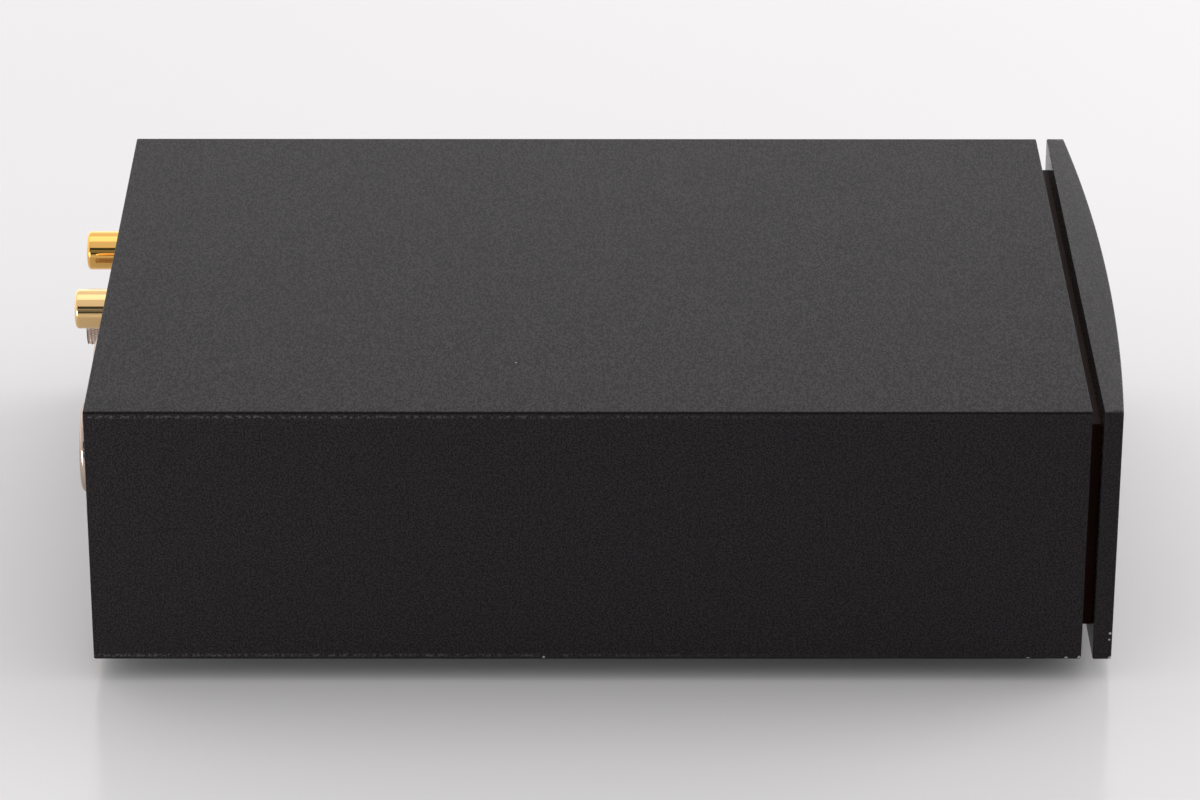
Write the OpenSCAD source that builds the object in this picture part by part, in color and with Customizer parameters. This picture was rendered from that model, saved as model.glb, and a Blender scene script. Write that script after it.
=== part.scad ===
// A phono preamplifier. An extruded sleeve slides over a folded chassis. A bowed fascia stands off
// the front on a smaller spacer, and a rear panel carries two phono sockets, two DIN sockets and a
// ground terminal with a knurled thumb nut.
//
// +Z is up and the front faces -Y. The origin is on the surface that the feet stand on, midway
// between the fascia's bow and the tips of the phono sockets. Left and right are as the front is
// faced, so left is -X.

/* [Case] */
// Width of the case
case_w = 138.8; // [134:0.1:150]
// Height of the case without its feet
case_h = 55.7; // [53:0.1:64]
// Length of the sleeve, front edge to rear edge
case_len = 200; // [196:1:240]
// Wall of the extruded sleeve
wall = 2; // [1.6:0.1:2.2]
// Radius along the sleeve's four long edges
edge_r = 0.5; // [0.3:0.1:1.2]

/* [Fascia] */
// Thickness of the fascia at its two ends
fascia_end_t = 3.8; // [3.6:0.1:6]
// Extra thickness where the bow is highest
fascia_bow = 2.95; // [2:0.05:6]
// Gap between the sleeve and the fascia, which the spacer fills
groove = 2.3; // [1.6:0.1:3]
// How far the spacer's edges stand back from the case's outline
reveal = 5.2; // [3:0.1:8]

/* [Rear connectors] */
// Distance between the two sockets of a pair
socket_pitch = 30.6; // [26:0.1:31]
// Distance between the inner socket of each pair
inner_pitch = 34.8; // [28:0.1:36]
// Height of the row of sockets above the case's underside
socket_z = 38; // [35:0.5:40]
// How far the DIN sockets' centres are below the phono sockets' centres
din_drop = 0.5; // [0:0.1:1]
// Height of the ground terminal above the case's underside
ground_z = 27.8; // [25:0.1:29]
// Outside diameter of a phono socket's barrel
rca_d = 8.5; // [8.2:0.1:8.6]
// How far the phono sockets stand out past the sleeve's rear edge
rca_out = 9.65; // [9:0.05:12]
// Diameter of a DIN socket's rim
din_rim_d = 18.4; // [17.6:0.1:20]
// How far a DIN socket's rim stands out past the sleeve's rear edge
din_out = 2.4; // [1.4:0.1:3]
// Diameter of the ground terminal's thumb nut over its knurl
thumb_nut_d = 10; // [8.5:0.1:11]
// How far the screwed-down thumb nut stands out past the sleeve's rear edge
thumb_nut_out = 8.8; // [7:0.1:9]

/* [Feet] */
// Height of the feet
foot_h = 5; // [4.4:0.1:8]
// Diameter of a foot where it meets the case
foot_d = 17; // [14:0.5:20]
// Distance from the case's sides to the centres of the feet
foot_inset = 20; // [16:1:24]

/* [Circuit board] */
// Width of the circuit board
board_w = 118; // [116:1:124]
// Length of the circuit board
board_len = 172; // [170:1:176]
// Height of the board above the chassis deck
standoff_h = 6; // [5:0.5:8]

/* [Hidden] */
$fn = 48;
past = 1;          // how far a cutter runs past the face that it opens
play = 0.3;        // gap between the chassis parts and the sleeve
sheet_t = 1.5;     // chassis sheet
bend_r = 2;        // outer radius of a fold in the sheet
panel_t = 2;       // rear panel
panel_recess = 0.5; // how far the rear panel sits inside the sleeve's edge
lip_h = 13;        // height of the chassis's rear lip
m3_r = 1.5;
m3_clear_r = 1.7;
m3_drill_r = 1.52;
m3_head_r = 2.75;
m3_head_t = 2;

// Heights
case_bottom = foot_h;
case_top = foot_h + case_h;
mid_z = foot_h + case_h / 2;
deck_bottom = case_bottom + wall;
deck_z = deck_bottom + sheet_t;
board_t = 1.6;
board_z = deck_z + standoff_h + board_t;
row_z = case_bottom + socket_z;
din_z = row_z - din_drop;
terminal_z = case_bottom + ground_z;
inner_w = case_w - 2 * wall;
inner_h = case_h - 2 * wall;

// Depths, from the front to the rear
fascia_mid_t = fascia_end_t + fascia_bow;
sleeve_front = (fascia_mid_t + groove - case_len - rca_out) / 2;
sleeve_rear = sleeve_front + case_len;
fascia_back = sleeve_front - groove;
fascia_front = fascia_back - fascia_mid_t;
panel_y = sleeve_rear - panel_recess;
lip_y = panel_y - panel_t;
board_front = sleeve_front + 8.6;
board_rear = board_front + board_len;

// The bow is an arc through the fascia's ends
bow_r = (pow(case_w / 2, 2) + pow(fascia_bow, 2)) / (2 * fascia_bow);

// Rails inside the sleeve, which hold the chassis deck down
rail_w = 3;
rail_t = 1.5;
rail_z = deck_z + play;

// Places of what repeats, as [x, y] seen from above or [x, z] seen from the end
fascia_screw_xz = [for (x = [-50, 50], dz = [-14, 14]) [x, mid_z + dz]];
panel_screw_x = [-44, 0, 44];
panel_screw_z = deck_bottom + 8;
foot_x = case_w / 2 - foot_inset;
foot_y = [sleeve_front + foot_inset + 2, sleeve_rear - foot_inset - 2];
foot_xy = [for (x = [-foot_x, foot_x], y = foot_y) [x, y]];
standoff_xy = [for (x = [-54, 54], y = [board_front + 32, board_front + 147]) [x, y]];
rca_x = [inner_pitch / 2, inner_pitch / 2 + socket_pitch];
din_x = [-rca_x[0], -rca_x[1]];
terminal_x = (rca_x[0] + rca_x[1]) / 2;
channel_x = [4, 40];
psu_x = -40;
regulator_y = [-48, -18];

// Phono socket, measured outward from the rear panel's face
rca_r = rca_d / 2;
rca_tip = rca_out + panel_recess;
rca_wall = 1.03;
rca_flange_r = 5.8;
rca_flange_t = 1.2;
rca_thread_r = 3.9;
rca_tail = -9;
rca_bore_r = 2.9;
rca_hole_r = 5.5;
rca_washer_r = 6.8;
rca_washer_t = 0.8;
rca_contact_r = 2.1;
rca_pin_hole_r = 1.65;

// DIN socket, measured outward from the rear panel's face
din_rim = din_out + panel_recess;
din_rim_r = din_rim_d / 2;
din_body_r = 7.6;
din_mouth_r = 6.8;
din_core_r = 5.75;
din_tail = -10;
din_pin_circle_r = 3.5;
din_contact_r = 1.05;
din_output_angles = [0, 45, 90, 135, 180];
din_power_angles = [0, 90, 180];

// Ground terminal, measured outward from the rear panel's face
stud_r = 1.96;
lock_nut_t = 2.4;
slide_washer_t = 0.8;
slide_gap = 0.05;
thumb_nut_start = lock_nut_t + slide_washer_t + 2 * slide_gap;
thumb_nut_end = thumb_nut_out + panel_recess;
knurl_teeth = 48;
knurl_depth = 0.3;

// Solder tags and the leads on them
tag_t = 0.5;
tag_fold = 6;
rca_tongue = 9;
ground_tongue = 6;
lead_r = 0.75;
lead_pitch = 2.5;
header_y = board_rear - 7;
header_h = 6;
header_top = board_z + header_h;
ground_dx = 2 * lead_r + 0.1; // from a phono socket's signal lead to its ground lead
tail_len = 4;                 // solder tails behind the sockets' bodies

sides = ["left", "right"];
dins = ["output", "power"];
corners = ["front_left", "rear_left", "front_right", "rear_right"];

// ---- Placing -------------------------------------------------------------------------------

// An outline drawn in X-Z, extruded from y0 to y1
module along_y(y0, y1) {
    translate([0, y1, 0]) rotate([90, 0, 0]) linear_extrude(y1 - y0) children();
}

// An outline drawn in Y-Z, extruded from x0 to x1
module along_x(x0, x1) {
    translate([x0, 0, 0]) rotate([90, 0, 90]) linear_extrude(x1 - x0) children();
}

// Local +Z becomes the way out of the rear panel, and local +Y becomes down
module facing_rear(x, z, y = panel_y) {
    translate([x, y, z]) rotate([-90, 0, 0]) children();
}

// Local +Z becomes the way out of the front, and local +Y becomes up
module facing_front(x, z, y = fascia_back) {
    translate([x, y, z]) rotate([90, 0, 0]) children();
}

module at_each(places) {
    for (p = places) translate([p[0], p[1], 0]) children();
}

// ---- Shared shapes -------------------------------------------------------------------------

module rounded_rect(w, h, r) {
    square([w - 2 * r, h], center = true);
    square([w, h - 2 * r], center = true);
    for (sx = [-1, 1], sy = [-1, 1]) translate([sx * (w / 2 - r), sy * (h / 2 - r)]) circle(r);
}

module tube(r_out, r_in, z0, z1) {
    translate([0, 0, z0]) difference() {
        cylinder(r = r_out, h = z1 - z0);
        translate([0, 0, -past]) cylinder(r = r_in, h = z1 - z0 + 2 * past);
    }
}

module rod(r, z0, z1) {
    translate([0, 0, z0]) cylinder(r = r, h = z1 - z0);
}

// A rod whose far end is chamfered
module chamfered_rod(r, z0, z1, chamfer) {
    rotate_extrude() polygon([[0, z0], [r, z0], [r, z1 - chamfer], [r - chamfer, z1], [0, z1]]);
}

module hex_nut(across_flats, r_in, z0, z1) {
    translate([0, 0, z0]) difference() {
        cylinder(r = across_flats / sqrt(3), h = z1 - z0, $fn = 6);
        translate([0, 0, -past]) cylinder(r = r_in, h = z1 - z0 + 2 * past);
    }
}

// A pan-head screw along +Z: the head is below z = 0 and the shank ends at len
module pan_screw(len, r = m3_r, head_r = m3_head_r, head_t = m3_head_t) {
    difference() {
        union() {
            rotate_extrude() polygon([[0, -head_t], [head_r - 0.8, -head_t], [head_r, 0.8 - head_t],
                                      [head_r, 0], [0, 0]]);
            chamfered_rod(r, -0.1, len, 0.4);
        }
        for (turn = [0, 90]) rotate(turn)
            translate([-head_r * 0.55, -0.3, -head_t - past]) cube([head_r * 1.1, 0.6, past + 1]);
    }
}

// A countersunk screw along -Z: its head is flush with z = 0
module countersunk_screw(len, r = m3_r, head_r = m3_head_r) {
    difference() {
        rotate_extrude() polygon([[0, 0], [head_r, 0], [head_r, -0.2], [r, -0.2 - head_r + r],
                                  [r, -len], [0, -len]]);
        for (turn = [0, 90]) rotate(turn)
            translate([-head_r * 0.55, -0.3, -1]) cube([head_r * 1.1, 0.6, past + 1]);
    }
}

// A solder tag: a ring behind front, with a tongue that is folded back for a lead
module solder_tag(ring_r, hole_r, front, tongue) {
    w = 3;
    difference() {
        union() {
            rod(ring_r, front - tag_t, front);
            translate([-w / 2, 0, front - tag_t]) cube([w, tongue, tag_t]);
        }
        rod(hole_r, front - tag_t - past, front + past);
    }
    translate([-w / 2, tongue - tag_t, front - tag_fold]) cube([w, tag_t, tag_fold]);
}

// A lead that leaves a tail at [y0, z0] toward the front, bends down and ends at height z1
module drop_lead(x, y0, z0, y1, z1, bend = 4) {
    r = lead_r;
    translate([x, y0, z0]) rotate([90, 0, 0]) cylinder(r = r, h = y0 - y1 - bend, $fn = 24);
    translate([x, y1 + bend, z0 - bend]) rotate([0, -90, 0]) rotate([0, 0, -90])
        rotate_extrude(angle = 90, $fn = 48) translate([bend, 0]) circle(r, $fn = 24);
    translate([x, y1, z1]) cylinder(r = r, h = z0 - bend - z1, $fn = 24);
}

// ---- Enclosure -----------------------------------------------------------------------------

module fascia() {
    screw_depth = 3.2;
    color("#2b2a2c") difference() {
        translate([0, 0, case_bottom]) linear_extrude(case_h) intersection() {
            translate([-case_w / 2, fascia_front]) square([case_w, fascia_mid_t]);
            translate([0, fascia_front + bow_r]) circle(bow_r, $fn = 1440);
        }
        for (p = fascia_screw_xz) facing_front(p[0], p[1], fascia_back + past)
            cylinder(r = m3_drill_r, h = screw_depth + past);
        facing_front(0, mid_z, fascia_back + past) cylinder(r = 1.5, h = fascia_mid_t + 2 * past);
    }
}

module spacer() {
    color("#241f1c") difference() {
        along_y(fascia_back, sleeve_front) translate([0, mid_z])
            square([case_w - 2 * reveal, case_h - 2 * reveal], center = true);
        for (p = fascia_screw_xz) facing_front(p[0], p[1], sleeve_front + past)
            cylinder(r = m3_clear_r, h = groove + 2 * past);
        facing_front(0, mid_z, sleeve_front + past) cylinder(r = 2.5, h = groove + 2 * past);
    }
}

module light_pipe() {
    back = -groove - sheet_t;
    color("#d8dde0", 0.6) facing_front(0, mid_z) rotate_extrude()
        polygon([[0, back], [1.48, back], [1.48, -1.4], [2.4, -1.4], [2.4, 0], [1.48, 0],
                 [1.48, fascia_mid_t - 0.5], [1.1, fascia_mid_t - 0.1], [0, fascia_mid_t - 0.1]]);
}

module power_led() {
    tip = -groove - sheet_t - 0.3;
    lead_y = fascia_back + 12;
    lead_half = 0.25;
    color("#cfe0d0") {
        facing_front(0, mid_z) {
            rotate_extrude() intersection() {
                union() {
                    translate([0, tip - 1.5]) circle(1.5);
                    translate([0, tip - 4.6]) square([1.5, 3.1]);
                    translate([0, tip - 5.6]) square([1.9, 1]);
                }
                translate([0, tip - 6]) square([3, 7]);
            }
        }
        for (x = [-1.27, 1.27]) {
            translate([x - lead_half, fascia_back - tip + 5.6, mid_z - lead_half])
                cube([2 * lead_half, lead_y - fascia_back + tip - 5.6 + lead_half, 2 * lead_half]);
            translate([x - lead_half, lead_y - lead_half, board_z])
                cube([2 * lead_half, 2 * lead_half, mid_z + lead_half - board_z]);
        }
    }
}

module fascia_screws() {
    shank = sheet_t + groove + 3;
    color("#9a9a98") for (p = fascia_screw_xz)
        facing_front(p[0], p[1], sleeve_front + sheet_t) pan_screw(shank);
}

module sleeve() {
    color("#262528") difference() {
        along_y(sleeve_front, sleeve_rear) {
            difference() {
                translate([0, mid_z]) rounded_rect(case_w, case_h, edge_r);
                translate([0, mid_z]) square([inner_w, inner_h], center = true);
            }
            for (side = [-1, 1])
                translate([side * (inner_w / 2 - rail_w / 2 + wall / 4), rail_z + rail_t / 2])
                    square([rail_w + wall / 2, rail_t], center = true);
        }
        at_each(foot_xy) rod(m3_clear_r, case_bottom - past, deck_bottom + past);
    }
}

// The fold between two walls of the sheet, in the quarter that quarter_turns picks
module sheet_fold(quarter_turns) {
    rotate(90 * quarter_turns) intersection() {
        difference() {
            circle(bend_r);
            circle(bend_r - sheet_t);
        }
        square(bend_r);
    }
}

module chassis_profile() {
    front_top = case_top - wall - play;
    translate([sleeve_front + bend_r, deck_bottom]) square([lip_y - sleeve_front - 2 * bend_r, sheet_t]);
    translate([sleeve_front, deck_bottom + bend_r])
        square([sheet_t, front_top - deck_bottom - bend_r]);
    translate([lip_y - sheet_t, deck_bottom + bend_r]) square([sheet_t, lip_h - bend_r]);
    translate([sleeve_front + bend_r, deck_bottom + bend_r]) sheet_fold(2);
    translate([lip_y - bend_r, deck_bottom + bend_r]) sheet_fold(3);
}

module chassis() {
    half_w = inner_w / 2 - play;
    notch = rail_w + 2 * play;
    color("#b4b3ad") difference() {
        along_x(-half_w, half_w) chassis_profile();
        // The upstand clears the sleeve's rails, and the lip stops short of them
        for (side = [-1, 1]) {
            translate([side * half_w, sleeve_front, rail_z + rail_t / 2])
                cube([2 * notch, 4 * sheet_t, rail_t + 2 * play], center = true);
            translate([side * half_w, lip_y, deck_z + lip_h / 2 + 0.5])
                cube([4 * notch, 6 * sheet_t, lip_h], center = true);
        }
        for (p = fascia_screw_xz) facing_front(p[0], p[1], sleeve_front + sheet_t + past)
            cylinder(r = m3_clear_r, h = sheet_t + 2 * past);
        facing_front(0, mid_z, sleeve_front + sheet_t + past) cylinder(r = 1.7, h = sheet_t + 2 * past);
        for (x = panel_screw_x) facing_rear(x, panel_screw_z, lip_y - sheet_t - past)
            cylinder(r = m3_drill_r, h = sheet_t + 2 * past);
        at_each(foot_xy) rod(m3_clear_r, deck_bottom - past, deck_z + past);
        at_each(standoff_xy) rod(m3_drill_r, deck_bottom - past, deck_z + past);
    }
}

module rear_panel() {
    half_w = inner_w / 2 - play;
    notch = rail_w + 2 * play;
    color("#1f1f20") difference() {
        along_y(lip_y, panel_y) difference() {
            translate([0, mid_z]) square([2 * half_w, inner_h - 2 * play], center = true);
            for (side = [-1, 1]) translate([side * half_w, rail_z + rail_t / 2])
                square([2 * notch, rail_t + 2 * play], center = true);
        }
        for (x = panel_screw_x) facing_rear(x, panel_screw_z) {
            rod(m3_clear_r, -panel_t - past, past);
            rotate_extrude() polygon([[0, past], [m3_head_r + 0.1, past], [m3_head_r + 0.1, -0.2],
                                      [m3_clear_r, -0.2 - m3_head_r + m3_r], [0, -1.6]]);
        }
        for (x = rca_x) facing_rear(x, row_z) rod(rca_hole_r, -panel_t - past, past);
        for (x = din_x) facing_rear(x, din_z) rod(din_body_r + 0.1, -panel_t - past, past);
        facing_rear(terminal_x, terminal_z) rod(stud_r + 0.1, -panel_t - past, past);
    }
}

module rear_panel_screws() {
    color("#2a2a2b") for (x = panel_screw_x)
        facing_rear(x, panel_screw_z) countersunk_screw(panel_t + sheet_t + 3);
}

// A rubber foot: tapered, with a pocket for its screw
module foot(x, y) {
    pocket_r = 3.6;
    pocket_h = foot_h - 1.8;
    color("#1b1b1b") translate([x, y, 0]) difference() {
        rotate_extrude() polygon([[0, 0], [foot_d / 2 - 1.9, 0], [foot_d / 2 - 1.2, 0.6],
                                  [foot_d / 2, foot_h - 0.6], [foot_d / 2, foot_h], [0, foot_h]]);
        rod(pocket_r, -past, pocket_h);
        rod(m3_clear_r, -past, foot_h + past);
    }
}

module foot_screws() {
    color("#9a9a98") at_each(foot_xy) translate([0, 0, foot_h - 1.8]) pan_screw(1.8 + wall + sheet_t + 3.4);
}

module clinch_nuts() {
    color("#b9b6a8") at_each(foot_xy) tube(3.4, m3_drill_r, deck_z, deck_z + 2.6);
}

// ---- Phono sockets -------------------------------------------------------------------------

// The barrel, turned from one bar: a round-lipped collar, a flange and the thread behind it
module rca_barrel(x) {
    lip_r = rca_wall / 2;
    flange_end = rca_washer_t + rca_flange_t;
    color("#c79a3b") facing_rear(x, row_z) rotate_extrude() {
        translate([rca_bore_r, rca_tail]) square([rca_thread_r - rca_bore_r, flange_end - rca_tail]);
        translate([rca_bore_r, rca_washer_t]) square([rca_flange_r - rca_bore_r, rca_flange_t]);
        translate([rca_r - rca_wall, rca_washer_t]) square([rca_wall, rca_tip - lip_r - rca_washer_t]);
        translate([rca_r - lip_r, rca_tip - lip_r]) circle(lip_r, $fn = 24);
    }
}

// The insulating bush: a washer on the panel's face with a spigot through its hole
module rca_bush(x) {
    color("#151515") facing_rear(x, row_z) rotate_extrude() {
        translate([rca_thread_r + 0.05, 0]) square([rca_washer_r - rca_thread_r - 0.05, rca_washer_t]);
        translate([rca_thread_r + 0.05, -panel_t])
            square([rca_hole_r - rca_thread_r - 0.1, panel_t + rca_washer_t / 2]);
    }
}

module rca_washer(x) {
    color("#151515") facing_rear(x, row_z)
        tube(rca_washer_r, rca_thread_r + 0.05, -panel_t - rca_washer_t, -panel_t);
}

// The centre insulator, which holds the contact and stops just inside the collar
module rca_dielectric(x) {
    front = rca_tip - 0.7;
    seat = rca_washer_t + rca_flange_t + 0.05;
    color("#e9e6dc") facing_rear(x, row_z) difference() {
        union() {
            rod(rca_r - rca_wall - 0.03, seat, front);
            rod(rca_bore_r - 0.03, rca_tail, seat);
        }
        rod(rca_contact_r + 0.02, -1.02, front + past);
        rod(1.22, rca_tail - past, 0);
    }
}

// The centre contact: a tube for the plug's pin, and the solder tail behind it
module rca_contact(x) {
    tube_back = -1;
    tube_front = rca_tip - 1.2;
    bore_back = 0.4;
    color("#c79a3b") facing_rear(x, row_z) difference() {
        union() {
            rod(rca_contact_r, tube_back, tube_front);
            rod(1.2, rca_tail - tail_len, tube_back);
        }
        rod(rca_pin_hole_r, bore_back, tube_front + past);
        translate([-0.35, -3, rca_tail - tail_len - past]) cube([0.7, 6, 2 + past]);
    }
}

module rca_tag(x) {
    color("#b9b09a") facing_rear(x, row_z)
        solder_tag(5.6, rca_thread_r + 0.05, -panel_t - rca_washer_t, rca_tongue);
}

module rca_nut(x) {
    front = -panel_t - rca_washer_t - tag_t;
    color("#c2a15a") facing_rear(x, row_z) hex_nut(11, rca_thread_r + 0.05, front - 2.2, front);
}

// ---- DIN sockets ---------------------------------------------------------------------------

// The plated shell: a rounded rim on the panel and a threaded barrel through it
module din_shell(x) {
    round_r = 0.9;
    chamfer = 0.6;
    color("#b8b6b0") facing_rear(x, din_z) rotate_extrude() difference() {
        union() {
            translate([din_mouth_r, din_tail]) square([din_body_r - din_mouth_r, -din_tail + 0.5]);
            translate([din_mouth_r, 0]) square([din_rim_r - din_mouth_r, din_rim - round_r]);
            translate([din_mouth_r, 0]) square([din_rim_r - round_r - din_mouth_r, din_rim]);
            translate([din_rim_r - round_r, din_rim - round_r]) circle(round_r, $fn = 32);
        }
        polygon([[din_mouth_r - 0.1, din_rim - chamfer], [din_mouth_r + chamfer + 0.1, din_rim + 0.1],
                 [din_mouth_r - 0.1, din_rim + 0.1]]);
    }
}

// The moulding inside: a base that fills the shell, a core for the contacts and a key on top
module din_insert(x, angles) {
    front = din_rim - 1;
    base_front = -7;
    color("#17171a") facing_rear(x, din_z) difference() {
        union() {
            rod(din_mouth_r - 0.03, din_tail, base_front);
            rod(din_core_r, base_front, front);
            translate([-1, -din_mouth_r + 0.1, base_front]) cube([2, 2, front - base_front - 1]);
        }
        for (a = angles) rotate(a) translate([din_pin_circle_r, 0, 0]) {
            rod(din_contact_r + 0.02, din_tail - past, front - 0.8);
            rod(0.85, front - 1, front + past);
        }
    }
}

module din_contacts(x, angles) {
    front = din_rim - 1.9;
    color("#c9a24a") facing_rear(x, din_z)
        for (a = angles) rotate(a) translate([din_pin_circle_r, 0, 0]) difference() {
            union() {
                rod(din_contact_r, din_tail + 0.5, front);
                rod(0.55, din_tail - tail_len, din_tail + 0.5);
            }
            rod(0.75, front - 6, front + past);
        }
}

module din_nut(x) {
    color("#b8b6b0") facing_rear(x, din_z) hex_nut(18, din_body_r + 0.05, -panel_t - 2.4, -panel_t);
}

// ---- Ground terminal -----------------------------------------------------------------------

module ground_stud() {
    color("#b8b6b0") facing_rear(terminal_x, terminal_z) {
        translate([0, 0, -panel_t - tag_t - 2.8]) cylinder(r = 4.04, h = 2.8, $fn = 6);
        chamfered_rod(stud_r, -panel_t - tag_t - 0.1, thumb_nut_end - 0.6, 0.4);
    }
}

module ground_tag() {
    color("#b9b09a") facing_rear(terminal_x, terminal_z)
        solder_tag(4, stud_r + 0.04, -panel_t, ground_tongue);
}

module ground_lock_nut() {
    color("#b8b6b0") facing_rear(terminal_x, terminal_z) hex_nut(7, stud_r + 0.04, 0, lock_nut_t);
}

module ground_washer() {
    start = lock_nut_t + slide_gap;
    color("#b8b6b0") facing_rear(terminal_x, terminal_z)
        tube(thumb_nut_d / 2 - 0.15, stud_r + 0.06, start, start + slide_washer_t);
}

// The knurl's outline: one notch for each tooth
module knurl_outline(r) {
    polygon([for (i = [0 : 2 * knurl_teeth - 1])
        let (a = 180 * i / knurl_teeth, rr = i % 2 == 0 ? r : r - knurl_depth)
            [rr * cos(a), rr * sin(a)]]);
}

module ground_thumb_nut() {
    r = thumb_nut_d / 2;
    core_r = r - knurl_depth - 0.1;
    collar = 0.15;
    chamfer = 0.15;
    color("#b8b6b0") facing_rear(terminal_x, terminal_z) difference() {
        union() {
            rotate_extrude() polygon([[0, thumb_nut_start], [core_r - chamfer, thumb_nut_start],
                                      [core_r, thumb_nut_start + chamfer],
                                      [core_r, thumb_nut_end - chamfer],
                                      [core_r - chamfer, thumb_nut_end], [0, thumb_nut_end]]);
            translate([0, 0, thumb_nut_start + collar])
                linear_extrude(thumb_nut_end - thumb_nut_start - 2 * collar) knurl_outline(r);
        }
        rod(stud_r + 0.05, thumb_nut_start - past, thumb_nut_end + past);
    }
}

// ---- Circuit board -------------------------------------------------------------------------

module circuit_board() {
    corner_r = 2;
    color("#1f5a36") difference() {
        translate([0, (board_front + board_rear) / 2, board_z - board_t]) linear_extrude(board_t)
            rounded_rect(board_w, board_len, corner_r);
        at_each(standoff_xy) rod(m3_clear_r, board_z - board_t - past, board_z + past);
    }
}

module standoffs() {
    color("#c2a15a") at_each(standoff_xy) {
        hex_nut(5.5, m3_drill_r, deck_z, deck_z + standoff_h);
    }
}

module board_screws() {
    color("#9a9a98") at_each(standoff_xy)
        translate([0, 0, board_z]) mirror([0, 0, 1]) pan_screw(board_t + standoff_h - 1);
}

// Two stages for each channel
stage_dy = [44, -8];
chip_xy = [for (x = channel_x, dy = stage_dy) [x, dy]];

module ic_sockets() {
    color("#202023") at_each(chip_xy) translate([0, 0, board_z]) difference() {
        translate([-3.9, -5.1, 0]) cube([7.8, 10.2, 4.2]);
        translate([-1.9, -3.9, -past]) cube([3.8, 7.8, 4.2 + 2 * past]);
        translate([0, 5.1, -past]) cylinder(r = 1, h = 4.2 + 2 * past, $fn = 24);
    }
}

// An eight-pin chip standing on its socket
module op_amps() {
    body_z = 4.9;
    color("#1a1a1c") at_each(chip_xy) translate([0, 0, board_z]) {
        difference() {
            translate([-3.2, -4.8, body_z]) cube([6.4, 9.6, 3.3]);
            translate([0, 4.8, body_z + 2.6]) cylinder(r = 1, h = past, $fn = 24);
            translate([-2.2, 3.6, body_z + 3]) cylinder(r = 0.5, h = past, $fn = 24);
        }
        for (side = [-1, 1], i = [-1.5 : 1 : 1.5])
            translate([side * 3.45 - 0.25, 2.54 * i - 0.6, 4.2]) cube([0.5, 1.2, 2.4]);
    }
}

// A boxed film capacitor with chamfered top edges
module film_box(w, d, h) {
    c = 0.5;
    rotate([90, 0, 0]) linear_extrude(d, center = true)
        polygon([[-w / 2, 0], [w / 2, 0], [w / 2, h - c], [w / 2 - c, h], [c - w / 2, h], [-w / 2, h - c]]);
}

module film_capacitors() {
    color("#a33a2c") for (x = channel_x) {
        for (dx = [-8, 8]) translate([x + dx, 22, board_z]) film_box(13, 5, 11);
        for (y = [12, -36]) translate([x, y, board_z]) film_box(18, 8, 15);
    }
}

// An axial part on two bent leads
module axial(body_len, body_r, span) {
    lead = 0.3;
    lift = body_r + 0.4;
    translate([0, 0, lift]) rotate([0, 90, 0]) translate([0, 0, -body_len / 2]) rotate_extrude($fn = 24)
        polygon([[0, 0], [body_r, 0], [body_r, body_len * 0.22], [body_r * 0.88, body_len * 0.28],
                 [body_r * 0.88, body_len * 0.72], [body_r, body_len * 0.78], [body_r, body_len],
                 [0, body_len]]);
    for (side = [-1, 1]) {
        translate([side > 0 ? body_len / 2 - 0.2 : -span / 2 - lead, -lead, lift - lead])
            cube([(span - body_len) / 2 + 0.2 + lead, 2 * lead, 2 * lead]);
        translate([side * span / 2 - lead, -lead, 0]) cube([2 * lead, 2 * lead, lift + lead]);
    }
}

module resistors() {
    color("#5f86a8") for (x = channel_x, y = [32.8, -19.5], i = [-2 : 2])
        translate([x + 4.6 * i, y, board_z]) rotate(90) axial(6.3, 1.2, 10.2);
}

// A can capacitor with a crimp near its foot and a scored top
module can_capacitor(r, h) {
    edge = 0.6;
    difference() {
        rotate_extrude() difference() {
            polygon([[0, 0], [r, 0], [r, h - edge], [r - edge, h], [0, h]]);
            translate([r + 0.4, h * 0.12]) circle(0.8, $fn = 24);
        }
        for (turn = [0, 90]) rotate(turn) translate([-r * 0.6, -0.2, h - 0.3]) cube([r * 1.2, 0.4, past]);
    }
}

module electrolytic_capacitors() {
    color("#23324f") for (x = channel_x, y = [-54, -68], dx = [-6, 6])
        translate([x + dx, y, board_z]) can_capacitor(4, 11.5);
}

module reservoir_capacitors() {
    color("#1d1d20") for (y = [12, 36]) translate([psu_x, y, board_z]) can_capacitor(9, 26);
}

module rectifier_diodes() {
    color("#1c1c1c") for (i = [0 : 3])
        translate([psu_x - 7.5 + 5 * i, 60, board_z]) rotate(90) axial(5.2, 1.35, 12.7);
}

// A heatsink is an extruded comb, and its regulator is screwed to the flat side
fin_y = [-10.4, -7.2, -4, 4, 7.2, 10.4];
tab_hole_z = 17;

module at_regulators() {
    for (y = regulator_y) translate([psu_x, y, board_z]) children();
}

module heatsinks() {
    h = 25;
    color("#222224") at_regulators() difference() {
        linear_extrude(h) {
            translate([-1.6, -11]) square([1.6, 22]);
            for (y = fin_y) translate([-10, y - 0.6]) square([8.5, 1.2]);
        }
        translate([-3, 0, tab_hole_z]) rotate([0, 90, 0]) cylinder(r = m3_clear_r, h = 6);
    }
}

module regulators() {
    color("#1a1a1c") at_regulators() difference() {
        union() {
            translate([0, -5, 4]) cube([1.3, 10, 15.6]);
            translate([1.2, -5, 4]) cube([3.3, 10, 9.2]);
            for (y = [-2.54, 0, 2.54]) translate([2, y - 0.4, 0]) cube([0.6, 0.8, 4.2]);
        }
        translate([-past, 0, tab_hole_z]) rotate([0, 90, 0]) cylinder(r = 1.8, h = 4);
    }
}

module regulator_screws() {
    color("#9a9a98") at_regulators() translate([1.3, 0, tab_hole_z]) rotate([0, -90, 0]) {
        pan_screw(6);
        hex_nut(5.5, m3_r, 2.9, 5.2);
    }
}

// ---- Wiring --------------------------------------------------------------------------------

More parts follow.
